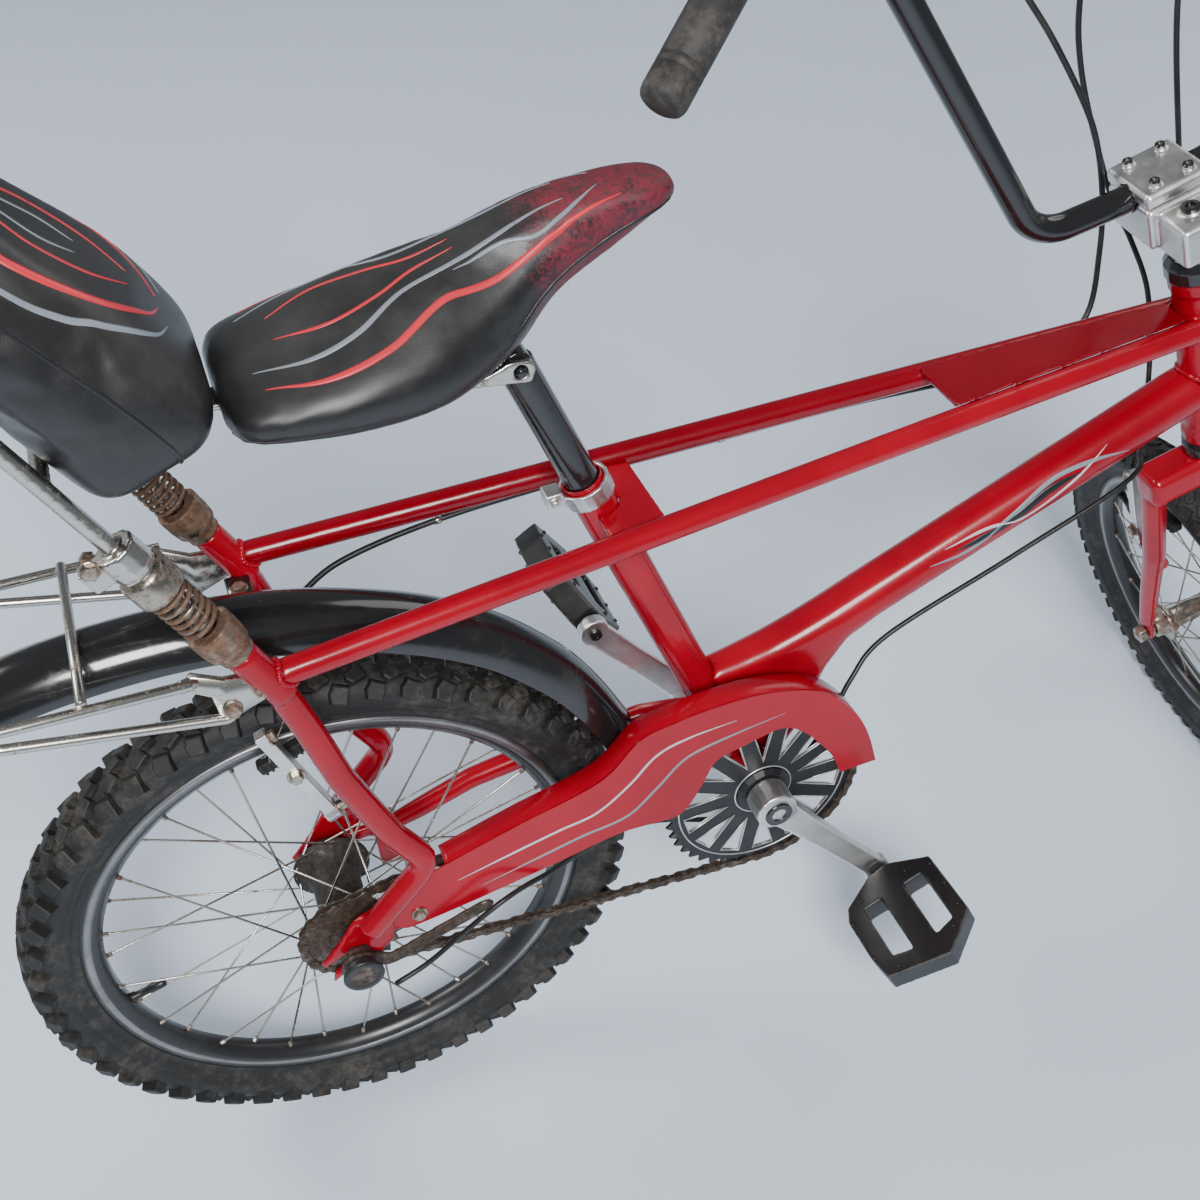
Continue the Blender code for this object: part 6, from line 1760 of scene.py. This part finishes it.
# Strokes: corners in the plane of the piece in millimetres, finish, and share of the line's width.
SADDLE_STROKES = (
    (((44, 50), (80, 60), (120, 56), (160, 40), (200, 34), (244, 26), (286, 20)), "line_red", 1.0),
    (((40, 34), (74, 44), (108, 40), (140, 24), (176, 20), (214, 15), (250, 12)), "line_grey", 0.85),
    (((58, 14), (90, 24), (124, 18), (150, 8), (178, 6)), "line_red", 0.7),
    (((172, 26), (202, 22), (226, 26), (252, 20), (274, 9)), "line_grey", 0.6))
BACKREST_STROKES = (
    (((8, 40), (30, 52), (52, 84), (56, 130), (40, 176), (46, 216), (34, 246)), "line_red", 1.1),
    (((22, 34), (48, 48), (66, 84), (70, 136), (58, 180), (60, 212)), "line_grey", 0.9),
    (((9, 62), (26, 90), (30, 124), (20, 156), (24, 190), (14, 222)), "line_red", 0.8),
    (((8, 96), (14, 118), (9, 146), (12, 172)), "line_grey", 0.7))
GUARD_STROKES = (
    (((92, 40), (130, 48), (180, 58), (214, 64), (244, 84), (270, 108), (300, 116), (340, 118)), "line_white",
     0.55),
    (((110, 24), (150, 32), (200, 42), (240, 48), (268, 70), (296, 94), (340, 103), (384, 108)), "line_grey",
     0.6))
TUBE_STROKES = (
    (((48, -8), (100, 4), (160, 10), (220, 2), (280, -6), (344, 3)), "line_grey", 0.9),
    (((80, 10), (136, -4), (200, -9), (256, 4), (320, 9)), "line_white", 0.6),
    (((120, 1), (168, 3), (216, -3), (264, -2), (304, 2)), "line_black", 1.5))
TUBE_STROKE_LENGTH = 400


def paint(name, target, stroke, spot_of, body, lift=0.35):
    """Paints a stroke; spot_of gives the inside point and the outward direction at each of its points."""
    corners, finish, share = stroke
    line_on(name, target, BIKE, [spot_of(u, v) for u, v in flow(corners)], sizes().line * share,
            skin_of(finish), body, lift)


class BICYCLE_OT_lines(bpy.types.Operator):
    """Flowing painted lines on the cushions, the down tube and the chain guard"""
    bl_idname = "bicycle.lines"
    bl_label = "Painted lines"

    def execute(self, context):
        pieces = bpy.data.objects
        for i, (side, _) in enumerate(SIDES):
            for k, stroke in enumerate(SADDLE_STROKES, len(SADDLE_STROKES) * i):
                paint(f"saddle_line_{k}", pieces["saddle_cushion"], stroke,
                      lambda x, y: ((x, side * y, 520), (0, 0, 1)), "seat")
        for i, (side, _) in enumerate(SIDES):
            for k, stroke in enumerate(BACKREST_STROKES, len(BACKREST_STROKES) * i):
                paint(f"backrest_line_{k}", pieces["backrest_cushion"], stroke, lambda u,
                      v: (BACK_FOOT + BACK_RISE * v + Vector((0, side * u, 0)) - BACK_FACING * 30,
                          BACK_FACING), "seat")
        for k, stroke in enumerate(GUARD_STROKES):
            paint(f"guard_line_{k}", pieces["guard_face"], stroke, lambda x, z: ((x, -50, z), (0, -1, 0)),
                  "frame", 0.2)
        first, last = DOWN_TUBE
        for side, word in SIDES:
            for k, stroke in enumerate(TUBE_STROKES):
                paint(f"tube_line_{k}_{word}", pieces["down_tube_smooth"], stroke, lambda along,
                      up: (first.lerp(last, along / TUBE_STROKE_LENGTH) + Vector((0, 0, up)),
                           (0, side, 0.25)), "frame", 0.25)
        return {"FINISHED"}


class BICYCLE_OT_plain_finishes(bpy.types.Operator):
    """Finishes of the pieces that keep their made shape"""
    bl_idname = "bicycle.plain_finishes"
    bl_label = "Plain finishes"

    def execute(self, context):
        for node, finish in (("chainring", "ring_black"), ("sprocket", "greasy")):
            piece = frame["nodes"][node]
            for part in [piece, *piece.children_recursive]:
                if part.type == "MESH":
                    part.data.materials.clear()
                    part.data.materials.append(skin_of(finish))
        return {"FINISHED"}


# Axes and place of the camera, in metres of the bicycle's frame.
PHOTO_CAMERA = ((0.9334, -0.3511, -0.0739), (0.283, 0.5938, 0.7532), (-0.2206, -0.724, 0.6536),
                (0.0028, -0.8197, 0.9744))


class BICYCLE_OT_stage(bpy.types.Operator):
    """Plain floor, soft lights and the camera"""
    bl_idname = "bicycle.stage"
    bl_label = "Stage"

    def execute(self, context):
        scene = context.scene
        world = bpy.data.worlds.new("Studio")
        world.use_nodes = True
        world.node_tree.nodes["Background"].inputs["Color"].default_value = (0.80, 0.85, 0.92, 1)
        world.node_tree.nodes["Background"].inputs["Strength"].default_value = 0.22
        scene.world = world
        mesh = bpy.data.meshes.new("floor")
        mesh.from_pydata([(-9, -9, 0), (9, -9, 0), (9, 9, 0), (-9, 9, 0)], [], [(0, 1, 2, 3)])
        floor = new_object("floor", mesh)
        skin_tree = Finish("floor", 0.75)
        grain = skin_tree.noise(3.0, 4.0)
        skin_tree.colour(skin_tree.blend(grain, tuple(colours().floor),
                                         tuple(c * 0.96 for c in colours().floor)))
        mesh.materials.append(skin_tree.material)
        # Place and target in metres, diameter in metres and power in watts.
        for name, place_at, target, size, power in (("key", (-0.6, -2.2, 2.9), (0, 0, 0.4), 1.2, 138),
                                                    ("fill", (2.4, 1.2, 2.4), (0.1, 0, 0.4), 2.2, 26),
                                                    ("rim", (-2.2, 1.6, 2.2), (0, 0, 0.5), 1.4, 46)):
            data = bpy.data.lights.new(name, "AREA")
            data.shape = "DISK"
            data.size = size
            data.energy = power
            light = new_object(name, data)
            light.matrix_world = (Vector(target) - Vector(place_at)).to_track_quat("-Z",
                                                                                   "Y").to_matrix().to_4x4()
            light.matrix_world.translation = Vector(place_at)
        lens = bpy.data.cameras.new("photo_view")
        lens.lens = 43.88
        lens.sensor_width = 36
        lens.clip_start = 0.02
        lens.clip_end = 60
        camera = new_object("photo_view", lens)
        camera.matrix_world = BIKE @ from_axes(*PHOTO_CAMERA)
        scene.camera = camera
        return {"FINISHED"}


PIECES = (BICYCLE_OT_stage, BICYCLE_OT_cables, BICYCLE_OT_paintwork, BICYCLE_OT_hardware, BICYCLE_OT_brakes,
          BICYCLE_OT_rear_wheel, BICYCLE_OT_front_wheel, BICYCLE_OT_drive, BICYCLE_OT_guard,
          BICYCLE_OT_cockpit, BICYCLE_OT_cushions, BICYCLE_OT_springs, BICYCLE_OT_carrier,
          BICYCLE_OT_plain_finishes, BICYCLE_OT_lines)


class BICYCLE_PT_panel(bpy.types.Panel):
    """Lists the pieces of the bicycle"""
    bl_idname = "BICYCLE_PT_panel"
    bl_label = "Chopper bicycle"
    bl_space_type = "VIEW_3D"
    bl_region_type = "UI"
    bl_category = "Bicycle"

    def draw(self, context):
        layout = self.layout
        for group in (context.scene.bicycle_colours, context.scene.bicycle_sizes):
            column = layout.column(align=True)
            for key in group.bl_rna.properties.keys():
                if key not in ("rna_type", "name"):
                    column.prop(group, key)
        for piece in PIECES:
            layout.operator(piece.bl_idname)


CLASSES = (BicycleColours, BicycleSizes, *PIECES, BICYCLE_PT_panel)


def register():
    for item in CLASSES:
        bpy.utils.register_class(item)
    bpy.types.Scene.bicycle_colours = bpy.props.PointerProperty(type=BicycleColours)
    bpy.types.Scene.bicycle_sizes = bpy.props.PointerProperty(type=BicycleSizes)


def unregister():
    del bpy.types.Scene.bicycle_sizes
    del bpy.types.Scene.bicycle_colours
    for item in reversed(CLASSES):
        bpy.utils.unregister_class(item)


def main():
    register()
    for piece in PIECES:
        group, name = piece.bl_idname.split(".")
        getattr(getattr(bpy.ops, group), name)()


if __name__ == "__main__":
    main()
